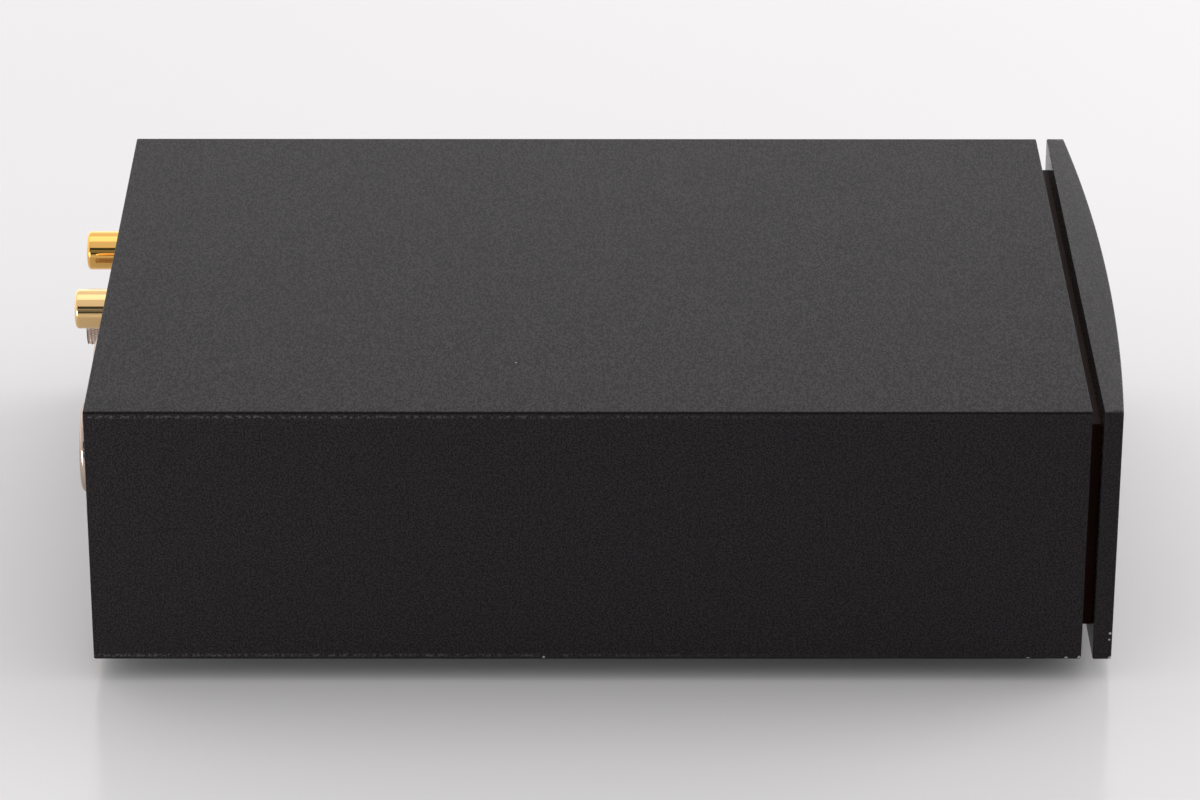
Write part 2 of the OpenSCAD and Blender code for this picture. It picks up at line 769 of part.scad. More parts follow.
module header(x, ways) {
    w = lead_pitch * ways + 1;
    translate([x - w / 2, header_y - 3, board_z]) difference() {
        cube([w, 6, header_h]);
        translate([0.6, 4.6, 3]) cube([w - 1.2, 2, header_h]);
    }
}

module wire_headers() {
    color("#e2dfd2") {
        for (x = rca_x) header(x + ground_dx / 2, 2);
        for (x = din_x) header(x, 3);
        header(terminal_x, 1);
    }
}

// A signal lead from each contact and a ground lead from under each tag's tongue
module input_leads() {
    for (x = rca_x) {
        color("#8c1f1f")
            drop_lead(x, panel_y + rca_tail - tail_len, row_z, header_y, header_top);
        color("#141414")
            drop_lead(x + ground_dx, panel_y - tag_fold, row_z - rca_tongue - lead_r, header_y, header_top);
    }
}

// Leads from a DIN socket's two outer contacts and its lowest one
module din_leads(x) {
    tail_y = panel_y + din_tail - tail_len;
    for (side = [-1, 1])
        drop_lead(x + side * din_pin_circle_r, tail_y, din_z, header_y, header_top);
    drop_lead(x, tail_y, din_z - din_pin_circle_r, header_y, header_top);
}

module output_leads() {
    color("#2c4f8c") din_leads(din_x[0]);
}

module power_leads() {
    color("#b0601c") din_leads(din_x[1]);
}

module ground_lead() {
    color("#2f7a38") drop_lead(terminal_x, panel_y - tag_fold, terminal_z - ground_tongue - lead_r,
                               header_y, header_top, bend = 3);
}

// ---- The object ----------------------------------------------------------------------------

fascia();
light_pipe();
power_led();
spacer();
fascia_screws();
sleeve();
chassis();
rear_panel();
rear_panel_screws();
foot_screws();
clinch_nuts();
for (i = [0 : len(corners) - 1])
    foot(foot_xy[i][0], foot_xy[i][1]);

for (i = [0, 1]) {
    rca_barrel(rca_x[i]);
    rca_bush(rca_x[i]);
    rca_washer(rca_x[i]);
    rca_dielectric(rca_x[i]);
    rca_contact(rca_x[i]);
    rca_tag(rca_x[i]);
    rca_nut(rca_x[i]);
}

for (i = [0, 1]) {
    angles = i == 0 ? din_output_angles : din_power_angles;
    din_shell(din_x[i]);
    din_insert(din_x[i], angles);
    din_contacts(din_x[i], angles);
    din_nut(din_x[i]);
}

ground_stud();
ground_tag();
ground_lock_nut();
ground_washer();
ground_thumb_nut();

circuit_board();
standoffs();
board_screws();
ic_sockets();
op_amps();
film_capacitors();
resistors();
electrolytic_capacitors();
reservoir_capacitors();
rectifier_diodes();
regulators();
heatsinks();
regulator_screws();
wire_headers();
input_leads();
output_leads();
power_leads();
ground_lead();
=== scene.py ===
"""Dresses a phono preamplifier: case, fascia, rear connectors, ground terminal and circuit board.

Sizes in the classes are in millimetres, in the frame of the solids: +Z is up and the front
faces -Y. A finished piece is in metres, with its place in its mesh.
"""

import logging
import math
from dataclasses import dataclass
from enum import Enum
from typing import Iterable, Optional, Sequence, Union

import bmesh
import bpy
from mathutils import Matrix, Vector


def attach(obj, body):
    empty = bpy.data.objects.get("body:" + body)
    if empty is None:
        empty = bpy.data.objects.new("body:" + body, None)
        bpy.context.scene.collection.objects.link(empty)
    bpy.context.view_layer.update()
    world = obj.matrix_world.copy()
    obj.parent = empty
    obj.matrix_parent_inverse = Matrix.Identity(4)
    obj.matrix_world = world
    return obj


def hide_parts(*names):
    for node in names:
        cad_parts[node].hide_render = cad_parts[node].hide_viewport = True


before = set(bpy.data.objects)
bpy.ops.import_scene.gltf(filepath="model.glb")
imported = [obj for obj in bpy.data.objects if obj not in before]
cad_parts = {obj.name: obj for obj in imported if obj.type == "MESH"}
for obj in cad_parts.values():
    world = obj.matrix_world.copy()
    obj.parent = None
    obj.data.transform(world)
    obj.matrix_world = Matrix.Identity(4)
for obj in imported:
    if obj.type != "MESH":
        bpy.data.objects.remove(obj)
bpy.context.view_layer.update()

MM = 0.001
ROOT, WASHER_BODY, NUT_BODY = "root", "clamp_washer", "thumb_nut"
log = logging.getLogger("preamplifier")

Point = tuple[float, float]
Value = Union[float, Sequence[float], "Signal"]


# ---- Shader expressions ----


class Signal:
    """A shader socket that adds its Math nodes when it is used in an expression."""

    def __init__(self, kit: "Shading", socket: bpy.types.NodeSocket) -> None:
        self.kit = kit
        self.socket = socket

    def _math(self, operation: str, *values: Value) -> "Signal":
        """Adds a Math node for some values."""
        return self.kit.node("ShaderNodeMath", {"operation": operation}, dict(enumerate(values)))

    def __add__(self, other: Value) -> "Signal":
        """Adds a value to this one."""
        return self._math("ADD", self, other)

    def __sub__(self, other: Value) -> "Signal":
        """Takes a value from this one."""
        return self._math("SUBTRACT", self, other)

    def __rsub__(self, other: Value) -> "Signal":
        """Takes this value from a number."""
        return self._math("SUBTRACT", other, self)

    def __mul__(self, other: Value) -> "Signal":
        """Multiplies this value."""
        return self._math("MULTIPLY", self, other)

    def __truediv__(self, other: Value) -> "Signal":
        """Divides this value."""
        return self._math("DIVIDE", self, other)

    def __abs__(self) -> "Signal":
        """The value without its sign."""
        return self._math("ABSOLUTE", self)

    __radd__ = __add__
    __rmul__ = __mul__

    def step(self, start: float, end: float) -> "Signal":
        """Rises smoothly from 0 where this value is start to 1 where it is end."""
        inputs = {"Value": self, "From Min": start, "From Max": end}
        return self.kit.node("ShaderNodeMapRange", {"interpolation_type": "SMOOTHSTEP"}, inputs)

    def wrapped(self, low: float, high: float) -> "Signal":
        """Repeats this value between low and high."""
        return self._math("WRAP", self, high, low)

    def highest(self, other: Value) -> "Signal":
        """The higher of this value and another."""
        return self._math("MAXIMUM", self, other)


class Shading:
    """The node tree of a material, or of the room."""

    def __init__(self, owner: Union[bpy.types.Material, bpy.types.World]) -> None:
        """Starts with an empty tree.

        Args:
            owner: What the tree belongs to.
        """
        owner.use_nodes = True
        self.tree = owner.node_tree
        self.tree.nodes.clear()

    def node(
        self,
        kind: str,
        settings: Optional[dict[str, object]] = None,
        inputs: Optional[dict[Union[str, int], Value]] = None,
        output: Union[str, int] = 0,
    ) -> Signal:
        """Adds a node.

        Args:
            kind: The node's type.
            settings: Its properties, set first; "stops" holds a colour ramp's stops.
            inputs: A value or a signal for each socket, by name or number.
            output: The output to return.

        Returns:
            The chosen output.
        """
        made = self.tree.nodes.new(kind)
        for name, setting in (settings or {}).items():
            if name == "stops":
                elements = made.color_ramp.elements
                for element, (place, colour) in zip((elements[0], elements[1]), setting[:2]):
                    element.position, element.color = place, colour
                for place, colour in setting[2:]:
                    elements.new(place).color = colour
            else:
                setattr(made, name, setting)
        for socket, value in (inputs or {}).items():
            if isinstance(value, Signal):
                self.tree.links.new(value.socket, made.inputs[socket])
            else:
                made.inputs[socket].default_value = value
        return Signal(self, made.outputs[output])

    def place(self, scale: Sequence[float] = (1, 1, 1)) -> Signal:
        """The point being shaded, on the piece's own coordinates.

        Args:
            scale: A factor for each axis.

        Returns:
            The point, in metres where the scale is 1.
        """
        point = self.node("ShaderNodeTexCoord", output="Object")
        if tuple(scale) == (1, 1, 1):
            return point
        return self.node("ShaderNodeMapping", {}, {"Vector": point, "Scale": scale})

    def axis(self, name: str) -> Signal:
        """One coordinate of the point, in millimetres."""
        return self.node("ShaderNodeSeparateXYZ", {}, {0: self.place()}, name) * (1 / MM)

    def noise(self, size: float, detail: float = 2, rough: float = 0.5,
              stretch: Sequence[float] = (1, 1, 1)) -> Signal:
        """A noise whose grains are size millimetres across, about 0.5 on average."""
        inputs = {"Vector": self.place(stretch), "Scale": 1 / (size * MM), "Detail": detail, "Roughness": rough}
        return self.node("ShaderNodeTexNoise", {}, inputs)

    def cells(self, size: float) -> Signal:
        """The distance to the nearest of scattered points that are size millimetres apart."""
        inputs = {"Vector": self.place(), "Scale": 1 / (size * MM)}
        return self.node("ShaderNodeTexVoronoi", {"feature": "SMOOTH_F1"}, inputs, "Distance")

    def mix(self, share: Value, first: Value, second: Value) -> Signal:
        """Mixes two colours, from the first where share is 0."""
        inputs = {0: share, 6: first, 7: second}
        return self.node("ShaderNodeMix", {"data_type": "RGBA"}, inputs, 2)

    def around(self, centre: float, *swings: tuple[Signal, float]) -> Value:
        """A value that swings around its centre with signals, each times a factor."""
        total: Value = centre
        for signal, factor in swings:
            total = (signal - 0.5) * factor + total
        return total

    def bump(self, height: Signal, depth: float, base: Optional[Signal] = None) -> Signal:
        """A normal from a height that is depth millimetres from 0 to 1, over another normal."""
        inputs = {"Height": height, "Distance": depth * MM, "Strength": 1.0}
        if base is not None:
            inputs["Normal"] = base
        return self.node("ShaderNodeBump", {}, inputs)

    def close(self, shader: Signal, output: str = "ShaderNodeOutputMaterial") -> None:
        """Ends the tree in a shader."""
        self.tree.links.new(shader.socket, self.tree.nodes.new(output).inputs["Surface"])


# ---- Finishes ----

Colour = tuple[float, float, float]


def opaque(colour: Colour, factor: float = 1.0) -> tuple[float, float, float, float]:
    """A colour with full alpha, made lighter or darker by a factor."""
    return (*(channel * factor for channel in colour), 1.0)


BARE_METAL = opaque((0.30, 0.29, 0.29))
DUST = opaque((0.42, 0.41, 0.39))
COVERED_TRACK = opaque((0.10, 0.30, 0.11))
TINNED_PAD = opaque((0.62, 0.60, 0.55))
BLUE_ZINC = opaque((0.60, 0.62, 0.66))
YELLOW_ZINC = opaque((0.66, 0.62, 0.50))


@dataclass(frozen=True)
class Finish:
    """A surface that is the same kind of thing all over.

    Attributes:
        name: The material's name.
        tone: Its average colour.
        roughness: Its average roughness.
    """

    name: str
    tone: Colour
    roughness: float

    def paint(self, kit: Shading) -> dict[Union[str, int], Value]:
        """The Principled shader's inputs; each kind of finish has its own."""
        raise NotImplementedError

    def material(self) -> bpy.types.Material:
        """The finish as a material, which is made once and kept apart from the solids' own."""
        name = f"{self.name}_finish"
        made = bpy.data.materials.get(name)
        if made is None:
            made = bpy.data.materials.new(name)
            kit = Shading(made)
            kit.close(kit.node("ShaderNodeBsdfPrincipled", {}, self.paint(kit)))
        return made


@dataclass(frozen=True)
class PowderCoat(Finish):
    """Powder coat with a fine texture.

    Attributes:
        grain: Size of the texture's bumps, in millimetres.
        relief: Height of the bumps, in millimetres.
        sheen: Specular level of the coat.
        gloss: Weight of the clear layer where it is thickest.
        painted_edge_light: True to paint light onto the long edges: painted shade on their rounding and a row of
            painted highlight specks beside it, fading towards the front.
        chips: Places where the coat is knocked off, as (x, y, z, radius) in millimetres.
    """

    grain: float = 0.5
    relief: float = 0.04
    sheen: float = 0.25
    gloss: float = 0.5
    painted_edge_light: bool = False
    chips: tuple[tuple[float, float, float, float], ...] = ()

    def paint(self, kit: Shading) -> dict[Union[str, int], Value]:
        """Bumps from cells and noise, darker pits, a cloudy roughness, the chips, and where asked, painted shade
        and painted highlights on the long edges.
        """
        bumps = kit.cells(self.grain)
        pits = kit.noise(self.grain, 2, 0.5, (0.45, 1, 1))
        cloud = kit.noise(14, 3)
        speck = pits.step(0.38, 0.64)
        colour = kit.mix(speck, opaque(self.tone, 0.62), opaque(self.tone, 1.38))
        chipped: Optional[Signal] = None
        ragged = kit.noise(0.5, 3) * 0.9
        for x, y, z, radius in self.chips:
            centre = (x * MM, y * MM, z * MM)
            ends = {0: kit.place(), 1: centre}
            away = kit.node("ShaderNodeVectorMath", {"operation": "DISTANCE"}, ends, "Value")
            spot = (away / (radius * MM) + ragged).step(1.5, 1.3)
            chipped = spot if chipped is None else chipped.highest(spot)
        height = bumps * 0.55 + pits
        if chipped is not None:
            colour = kit.mix(chipped, colour, BARE_METAL)
            height = height - chipped * 1.5
        gloss = (speck * 0.8 + 0.2) * self.gloss
        # Painted light on the long edges: a painted shade darkens the edge rounding, and painted highlight specks
        # lighten a row beside it, stronger towards the rear.
        if self.painted_edge_light:
            side = HALF_W - abs(kit.axis("X"))
            level = (CASE_TOP - CASE_BOTTOM) / 2 - abs(kit.axis("Z") - MID_Z)
            painted_edge_shade = side.step(0.50, 0.12) * level.step(0.50, 0.12)
            highlight_specks = kit.noise(0.7, 2, 0.6).step(0.46, 0.62) * kit.axis("Y").step(-90.0, 70.0)
            painted_edge_highlight = level.step(0.60, 0.80) * level.step(1.5, 1.1) * side.step(0.30, 0.10) * highlight_specks
            colour = kit.mix(painted_edge_highlight, kit.mix(painted_edge_shade, colour, opaque(self.tone, 0.35)), opaque(self.tone, 2.6))
            gloss = gloss * (1 - painted_edge_shade) + painted_edge_highlight * 0.8
        return {
            "Base Color": colour,
            "Roughness": kit.around(self.roughness, (cloud, 0.06), (pits, 0.3)),
            "Specular IOR Level": self.sheen,
            "Coat Weight": gloss,
            "Coat Roughness": self.roughness * 0.8,
            "Normal": kit.bump(height, self.relief),
        }


@dataclass(frozen=True)
class Anodised(Finish):
    """Aluminium, blasted fine and anodised.

    Attributes:
        sheen: Specular level.
    """

    sheen: float = 0.5

    def paint(self, kit: Shading) -> dict[Union[str, int], Value]:
        """A fine grain, with handling marks in the roughness."""
        grain = kit.noise(0.18, 2, 0.6)
        marks = kit.noise(11, 4, 0.6)
        return {
            "Base Color": kit.mix(grain, opaque(self.tone, 0.8), opaque(self.tone, 1.25)),
            "Roughness": kit.around(self.roughness, (marks, 0.16), (grain, 0.1)),
            "Specular IOR Level": self.sheen,
            "Normal": kit.bump(grain, 0.012),
        }


class Turning(Enum):
    """The way that a tool left its fine lines on plated or turned metal."""

    NONE = "none"
    RINGS = "rings along Y"


@dataclass(frozen=True)
class Metal(Finish):
    """Bare or plated metal.

    Attributes:
        turning: The tool's lines.
        cloud: How far the roughness varies from place to place.
        tarnish: The colour that patches of it tend to.
        edge: How far each channel is dimmed where it is seen at a grazing angle.
    """

    turning: Turning = Turning.NONE
    cloud: float = 0.08
    tarnish: Colour = (0.5, 0.45, 0.38)
    edge: Colour = (1.0, 1.0, 1.0)

    def paint(self, kit: Shading) -> dict[Union[str, int], Value]:
        """Faint tarnish and smudges, over the tool's lines."""
        patches = kit.noise(2.6, 4, 0.6)
        fine = kit.noise(0.12, 2, 0.5)
        height = fine * 0.4
        if self.turning is Turning.RINGS:
            height = height + kit.noise(0.07, 1, 0.5, (0.004, 1, 0.004))
        share = patches.step(0.52, 0.85) * 0.35
        return {
            "Base Color": kit.mix(share, opaque(self.tone), opaque(self.tarnish)),
            "Metallic": 1.0,
            "Specular Tint": opaque(self.edge),
            "Roughness": kit.around(self.roughness, (patches, self.cloud * 2), (fine, 0.04)),
            "Normal": kit.bump(height, 0.0006),
        }


@dataclass(frozen=True)
class ZincSheet(Finish):
    """Folded sheet with a bright zinc plating."""

    def paint(self, kit: Shading) -> dict[Union[str, int], Value]:
        """Rolling lines along the sheet, and a pale yellow and blue iridescence."""
        bloom = kit.noise(16, 3, 0.55)
        lines = kit.noise(0.3, 2, 0.6, (1, 0.02, 1))
        stops = [(0.35, BLUE_ZINC), (0.65, YELLOW_ZINC), (0.5, opaque(self.tone))]
        return {
            "Base Color": kit.node("ShaderNodeValToRGB", {"stops": stops}, {0: bloom}),
            "Metallic": 1.0,
            "Roughness": kit.around(self.roughness, (bloom, 0.2), (lines, 0.16)),
            "Normal": kit.bump(lines, 0.004),
        }


@dataclass(frozen=True)
class Moulding(Finish):
    """Moulded plastic or rubber.

    Attributes:
        spark: Size of the spark-eroded texture, in millimetres.
        relief: Height of the texture, in millimetres.
        dust: How much pale dust lies in it, from 0 to 1.
    """

    spark: float = 0.25
    relief: float = 0.008
    dust: float = 0.1

    def paint(self, kit: Shading) -> dict[Union[str, int], Value]:
        """A fine even texture with a little dust."""
        texture = kit.noise(self.spark, 3, 0.6)
        flow = kit.noise(5, 3)
        dusty = (texture * 0.5 + flow * 0.5).step(0.5, 0.8) * self.dust
        base = kit.mix(flow, opaque(self.tone, 0.85), opaque(self.tone, 1.15))
        return {
            "Base Color": kit.mix(dusty, base, DUST),
            "Roughness": kit.around(self.roughness, (texture, 0.2), (flow, 0.1)),
            "Normal": kit.bump(texture, self.relief),
        }


@dataclass(frozen=True)
class Striped(Finish):
    """A glossy sleeve or lacquer with stripes at given places.

    Attributes:
        axis: The axis that the stripes cross, "X" or "Y".
        period: The distance after which the stripes repeat, in millimetres.
        centre: Where a repeat is centred.
        stripes: Each stripe's distance from that centre, half width and colour.
    """

    axis: str = "Y"
    period: float = 1000.0
    centre: float = 0.0
    stripes: tuple[tuple[float, float, Colour], ...] = ()

    def paint(self, kit: Shading) -> dict[Union[str, int], Value]:
        """The stripes over the tone, with small waves in the gloss."""
        wave = kit.noise(1.8, 3)
        across = (kit.axis(self.axis) - self.centre).wrapped(-self.period / 2, self.period / 2)
        colour = kit.mix(wave, opaque(self.tone, 0.85), opaque(self.tone, 1.2))
        for offset, half, stripe in self.stripes:
            inside = abs(across - offset).step(half + 0.05, half - 0.05)
            colour = kit.mix(inside, colour, opaque(stripe))
        return {
            "Base Color": colour,
            "Roughness": kit.around(self.roughness, (wave, 0.14)),
            "Coat Weight": 0.4,
            "Normal": kit.bump(wave, 0.02),
        }


@dataclass(frozen=True)
class SolderMask(Finish):
    """A circuit board: mask over copper tracks, with tinned pads."""

    def paint(self, kit: Shading) -> dict[Union[str, int], Value]:
        """Tracks that run along Y with bends, and rows of pads."""
        wander = kit.noise(22, 1)
        lane = (kit.axis("X") + wander.step(0.4, 0.6) * 5).wrapped(-2.2, 2.2)
        track = abs(lane).step(0.75, 0.55)
        broken = kit.noise(30, 1, 0.5, (1, 0.4, 1)).step(0.5, 0.54)
        pad_x, pad_y = (kit.axis(name).wrapped(-2.54, 2.54) for name in ("X", "Y"))
        pad = (pad_x * pad_x + pad_y * pad_y).step(0.85, 0.7) * (1 - broken)
        grain = kit.noise(0.4, 2)
        masked = kit.mix(track * broken, opaque(self.tone), COVERED_TRACK)
        return {
            "Base Color": kit.mix(pad, masked, TINNED_PAD),
            "Metallic": pad * 0.9,
            "Roughness": kit.around(self.roughness, (grain, 0.12)),
            "Normal": kit.bump(track * broken + pad, 0.03, kit.bump(grain, 0.01)),
        }


@dataclass(frozen=True)
class ClearMoulding(Finish):
    """Clear or tinted moulded plastic."""

    def paint(self, kit: Shading) -> dict[Union[str, int], Value]:
        """A clear body with faint flow lines."""
        flow = kit.noise(0.9, 3)
        return {
            "Base Color": kit.mix(flow, opaque(self.tone, 0.92), opaque(self.tone)),
            "Roughness": kit.around(self.roughness, (flow, 0.08)),
            "Transmission Weight": 0.7,
            "IOR": 1.49,
            "Normal": kit.bump(flow, 0.01),
        }


@dataclass(frozen=True)
class StudioFloor(Finish):
    """A white gloss table."""

    def paint(self, kit: Shading) -> dict[Union[str, int], Value]:
        """A nearly even white, with a slow variation in its gloss."""
        slow = kit.noise(160, 3)
        return {
            "Base Color": kit.mix(slow, opaque(self.tone, 0.985), opaque(self.tone, 1.01)),
            "Roughness": kit.around(self.roughness, (slow, 0.04)),
            "Specular IOR Level": 0.35,
        }


CASE_COAT = PowderCoat(
    "case_textured_coat", (0.0150, 0.0131, 0.0143), 0.36, grain=0.34, relief=0.03, sheen=0.045, gloss=0.16,
    # Paints shade and highlight specks onto the sleeve's long edges.
    painted_edge_light=True,
    chips=((-69.3, -89.5, 5.1, 0.5), (-69.3, -93.8, 5.0, 0.35), (-69.4, -97.2, 5.15, 0.55),
           (-69.3, -99.9, 5.3, 0.5), (-46.5, 14.2, 60.7, 0.22), (-69.4, 8.6, 5.6, 0.25)))
FASCIA_COAT = PowderCoat(
    "fascia_satin_coat", (0.0128, 0.0111, 0.0119), 0.24, grain=0.34, relief=0.022, sheen=0.08, gloss=0.12,
    chips=((-69.4, -106.2, 5.3, 0.5), (-69.4, -105.9, 11.0, 0.3), (-69.4, -105.8, 9.6, 0.22)))
SPACER_ANODISED = Anodised("spacer_dark_anodised", (0.0200, 0.0034, 0.0006), 0.40, sheen=0.048)
PANEL_ANODISED = Anodised("rear_panel_black", (0.013, 0.013, 0.0135), 0.46)
HEATSINK_ANODISED = Anodised("heatsink_black", (0.014, 0.014, 0.015), 0.44)
PALE_GOLD = Metal("pale_gold_plate", (0.93, 0.62, 0.29), 0.05, Turning.RINGS, 0.015, (0.87, 0.55, 0.245))
DEEP_GOLD = Metal("deep_gold_plate", (0.95, 0.55, 0.155), 0.05, Turning.RINGS, 0.015, (0.90, 0.49, 0.13))
NICKEL = Metal("nickel_plate", (0.52, 0.42, 0.35), 0.07, Turning.RINGS, 0.02, (0.40, 0.31, 0.25),
               (0.80, 0.72, 0.66))
KNURL_NICKEL = Metal("knurled_nickel", (0.58, 0.48, 0.42), 0.68, Turning.NONE, 0.10, (0.40, 0.33, 0.28))
TURNED_BRASS = Metal("turned_brass", (0.74, 0.56, 0.30), 0.24, Turning.RINGS, 0.10, (0.45, 0.30, 0.14))
TINNED = Metal("tinned_brass", (0.62, 0.58, 0.51), 0.30, Turning.NONE, 0.12)
SCREW_STEEL = Metal("screw_plated", (0.56, 0.56, 0.55), 0.26, Turning.NONE, 0.10, (0.40, 0.38, 0.34))
SCREW_BLACK = Metal("screw_black_oxide", (0.045, 0.045, 0.048), 0.38, Turning.NONE, 0.14, (0.09, 0.07, 0.06))
ZINC = ZincSheet("zinc_sheet", (0.62, 0.61, 0.58), 0.32)
BLACK_MOULDING = Moulding("black_moulding", (0.016, 0.016, 0.017), 0.42, dust=0.06)
WHITE_MOULDING = Moulding("white_moulding", (0.74, 0.72, 0.65), 0.36, dust=0.04)
RED_MOULDING = Moulding("red_moulding", (0.36, 0.015, 0.012), 0.38, dust=0.04)
RUBBER = Moulding("foot_rubber", (0.018, 0.018, 0.018), 0.68, spark=0.35, relief=0.025, dust=0.16)
CHIP_MOULDING = Moulding("chip_moulding", (0.022, 0.022, 0.024), 0.52, spark=0.12, relief=0.01, dust=0.1)
FILM_BOX = Moulding("film_capacitor_box", (0.42, 0.045, 0.025), 0.30, spark=0.8, relief=0.004, dust=0.05)
RESISTOR = Striped("resistor_lacquer", (0.13, 0.30, 0.48), 0.30, period=52.3, centre=32.8,
                   stripes=((-2.5, 0.32, (0.30, 0.03, 0.01)), (-1.4, 0.3, (0.01, 0.01, 0.01)),
                            (-0.4, 0.3, (0.10, 0.04, 0.02)), (0.6, 0.3, (0.35, 0.02, 0.01)),
                            (2.5, 0.32, (0.10, 0.04, 0.02))))
SMALL_CAN = Striped("small_can_sleeve", (0.014, 0.030, 0.085), 0.26, axis="X", period=12.0, centre=-2.0,
                    stripes=((-4.0, 0.7, (0.55, 0.56, 0.58)),))
BIG_CAN = Striped("big_can_sleeve", (0.014, 0.014, 0.016), 0.28, axis="X", centre=-40.0,
                  stripes=((-9.0, 1.1, (0.60, 0.60, 0.60)),))
DIODE = Striped("diode_moulding", (0.016, 0.016, 0.016), 0.34, period=500.0, centre=60.0,
                stripes=((1.9, 0.4, (0.60, 0.60, 0.60)),))
BOARD = SolderMask("board_solder_mask", (0.018, 0.115, 0.045), 0.26)
CLEAR = ClearMoulding("clear_acrylic", (0.90, 0.94, 0.95), 0.08)
LED_EPOXY = ClearMoulding("led_epoxy", (0.45, 0.85, 0.48), 0.12)
LEADS = {
    node: Moulding(f"lead_{word}", tone, 0.36, spark=0.6, relief=0.01)
    for node, word, tone in (
        ("input_leads", "red", (0.42, 0.018, 0.015)),
        ("output_leads", "blue", (0.025, 0.085, 0.36)),
        ("power_leads", "orange", (0.62, 0.19, 0.02)),
        ("ground_lead", "green", (0.03, 0.25, 0.05)),
    )
}
TABLE = StudioFloor("table_white", (0.68, 0.675, 0.68), 0.16)


# ---- Forms ----


def linked(name: str, data: bpy.types.ID) -> bpy.types.Object:
    """A new object with some data, linked into the scene."""
    made = bpy.data.objects.new(name, data)
    bpy.context.scene.collection.objects.link(made)
    return made


class Form:
    """A solid in the making, in millimetres, shaped with bmesh operators."""

    def __init__(self) -> None:
        """Starts with nothing."""
        self.bm = bmesh.new()

    def outline(self, corners: Sequence[Point], radius: float = 0.0, segments: int = 6) -> list[bmesh.types.BMEdge]:
        """Draws a closed outline at height 0.

        Args:
            corners: Its corners.
            radius: Radius that rounds each corner.
            segments: Segments in each rounded corner.

        Returns:
            The outline's edges.
        """
        edges, faces = set(self.bm.edges), set(self.bm.faces)
        corner_verts = [self.bm.verts.new((x, y, 0)) for x, y in corners]
        self.bm.faces.new(corner_verts)
        if radius:
            bmesh.ops.bevel(self.bm, geom=corner_verts, offset=radius, offset_type="OFFSET", segments=segments,
                            profile=0.5, affect="VERTICES", material=-1)
        drawn = [face for face in self.bm.faces if face not in faces]
        bmesh.ops.delete(self.bm, geom=drawn, context="FACES_ONLY")
        return [edge for edge in self.bm.edges if edge not in edges]

    def circle(self, x: float, y: float, radius: float, segments: int = 64) -> list[bmesh.types.BMEdge]:
        """Draws a circle at height 0 and returns its edges."""
        ring = bmesh.ops.create_circle(self.bm, cap_ends=False, segments=segments, radius=radius,
                                       matrix=Matrix.Translation((x, y, 0)))["verts"]
        return list({edge for vert in ring for edge in vert.link_edges})

    def prism(self, edges: Iterable[bmesh.types.BMEdge], low: float, high: float, edge: float = 0.2) -> "Form":
        """Fills outlines, holes among them, and extrudes them into a solid with rounded ends.

        Args:
            edges: The outlines' edges.
            low: Height of the lower end.
            high: Height of the upper end.
            edge: Size of the rounding around both ends.

        Returns:
            This form.
        """
        filled = bmesh.ops.triangle_fill(self.bm, use_beauty=True, edges=list(edges), normal=(0, 0, 1))["geom"]
        lower = [item for item in filled if isinstance(item, bmesh.types.BMFace)]
        verts = list({vert for face in lower for vert in face.verts})
        bmesh.ops.translate(self.bm, verts=verts, vec=(0, 0, low + edge))
        grown = bmesh.ops.extrude_face_region(self.bm, geom=lower)["geom"]
        upper = [item for item in grown if isinstance(item, bmesh.types.BMFace)]
        raised = [item for item in grown if isinstance(item, bmesh.types.BMVert)]
        bmesh.ops.translate(self.bm, verts=raised, vec=(0, 0, high - low - 2 * edge))
        bmesh.ops.recalc_face_normals(self.bm, faces=self.bm.faces)
        diagonal = math.sqrt(0.5)
        if edge:
            for cap in (lower, upper):
                for inward, outward in ((1 - diagonal, diagonal), (diagonal, 1 - diagonal)):
                    bmesh.ops.inset_region(self.bm, faces=cap, use_boundary=True, use_even_offset=True,
                                           thickness=edge * inward, depth=edge * outward)
        return self

    def lathe(self, profile: Sequence[Point], segments: int = 96) -> "Form":
        """Turns an outline of (radius, height) points about the Z axis.

        Args:
            profile: The points; it is closed into a ring unless it starts on the axis.
            segments: Segments in the full turn.

        Returns:
            This form.
        """
        turned = [self.bm.verts.new((radius, 0, height)) for radius, height in profile]
        pairs = list(zip(turned, turned[1:]))
        if profile[0][0] > 0:
            pairs.append((turned[-1], turned[0]))
        lines = [self.bm.edges.new(pair) for pair in pairs]
        bmesh.ops.spin(self.bm, geom=turned + lines, cent=(0, 0, 0), axis=(0, 0, 1), angle=math.tau,
                       steps=segments, use_merge=True)
        bmesh.ops.remove_doubles(self.bm, verts=self.bm.verts, dist=1e-4)
        bmesh.ops.recalc_face_normals(self.bm, faces=self.bm.faces)
        return self

    def block(self, low: Sequence[float], high: Sequence[float]) -> "Form":
        """Adds a box between two corners."""
        centre = [(a + b) / 2 for a, b in zip(low, high)]
        size = Matrix.Diagonal([b - a for a, b in zip(low, high)] + [1])
        bmesh.ops.create_cube(self.bm, size=1, matrix=Matrix.Translation(centre) @ size)
        return self

    def soften(self, width: float, segments: int = 2, angle: float = 30.0) -> "Form":
        """Rounds every edge that turns by more than angle degrees."""
        sharp = [edge for edge in self.bm.edges
                 if edge.is_manifold and edge.calc_face_angle() > math.radians(angle)]
        bmesh.ops.bevel(self.bm, geom=sharp, offset=width, offset_type="OFFSET", segments=segments, profile=0.5,
                        affect="EDGES", clamp_overlap=True, material=-1)
        return self

    def join(self, other: "Form", matrix: Optional[Matrix] = None) -> "Form":
        """Adds another form, moved by a matrix if there is one."""
        copied = bpy.data.meshes.new("joined")
        other.bm.to_mesh(copied)
        if matrix is not None:
            copied.transform(matrix)
        self.bm.from_mesh(copied)
        bpy.data.meshes.remove(copied)
        return self

    def place(self, matrix: Matrix) -> "Form":
        """Moves the whole form by a matrix."""
        bmesh.ops.transform(self.bm, matrix=matrix, verts=self.bm.verts)
        return self

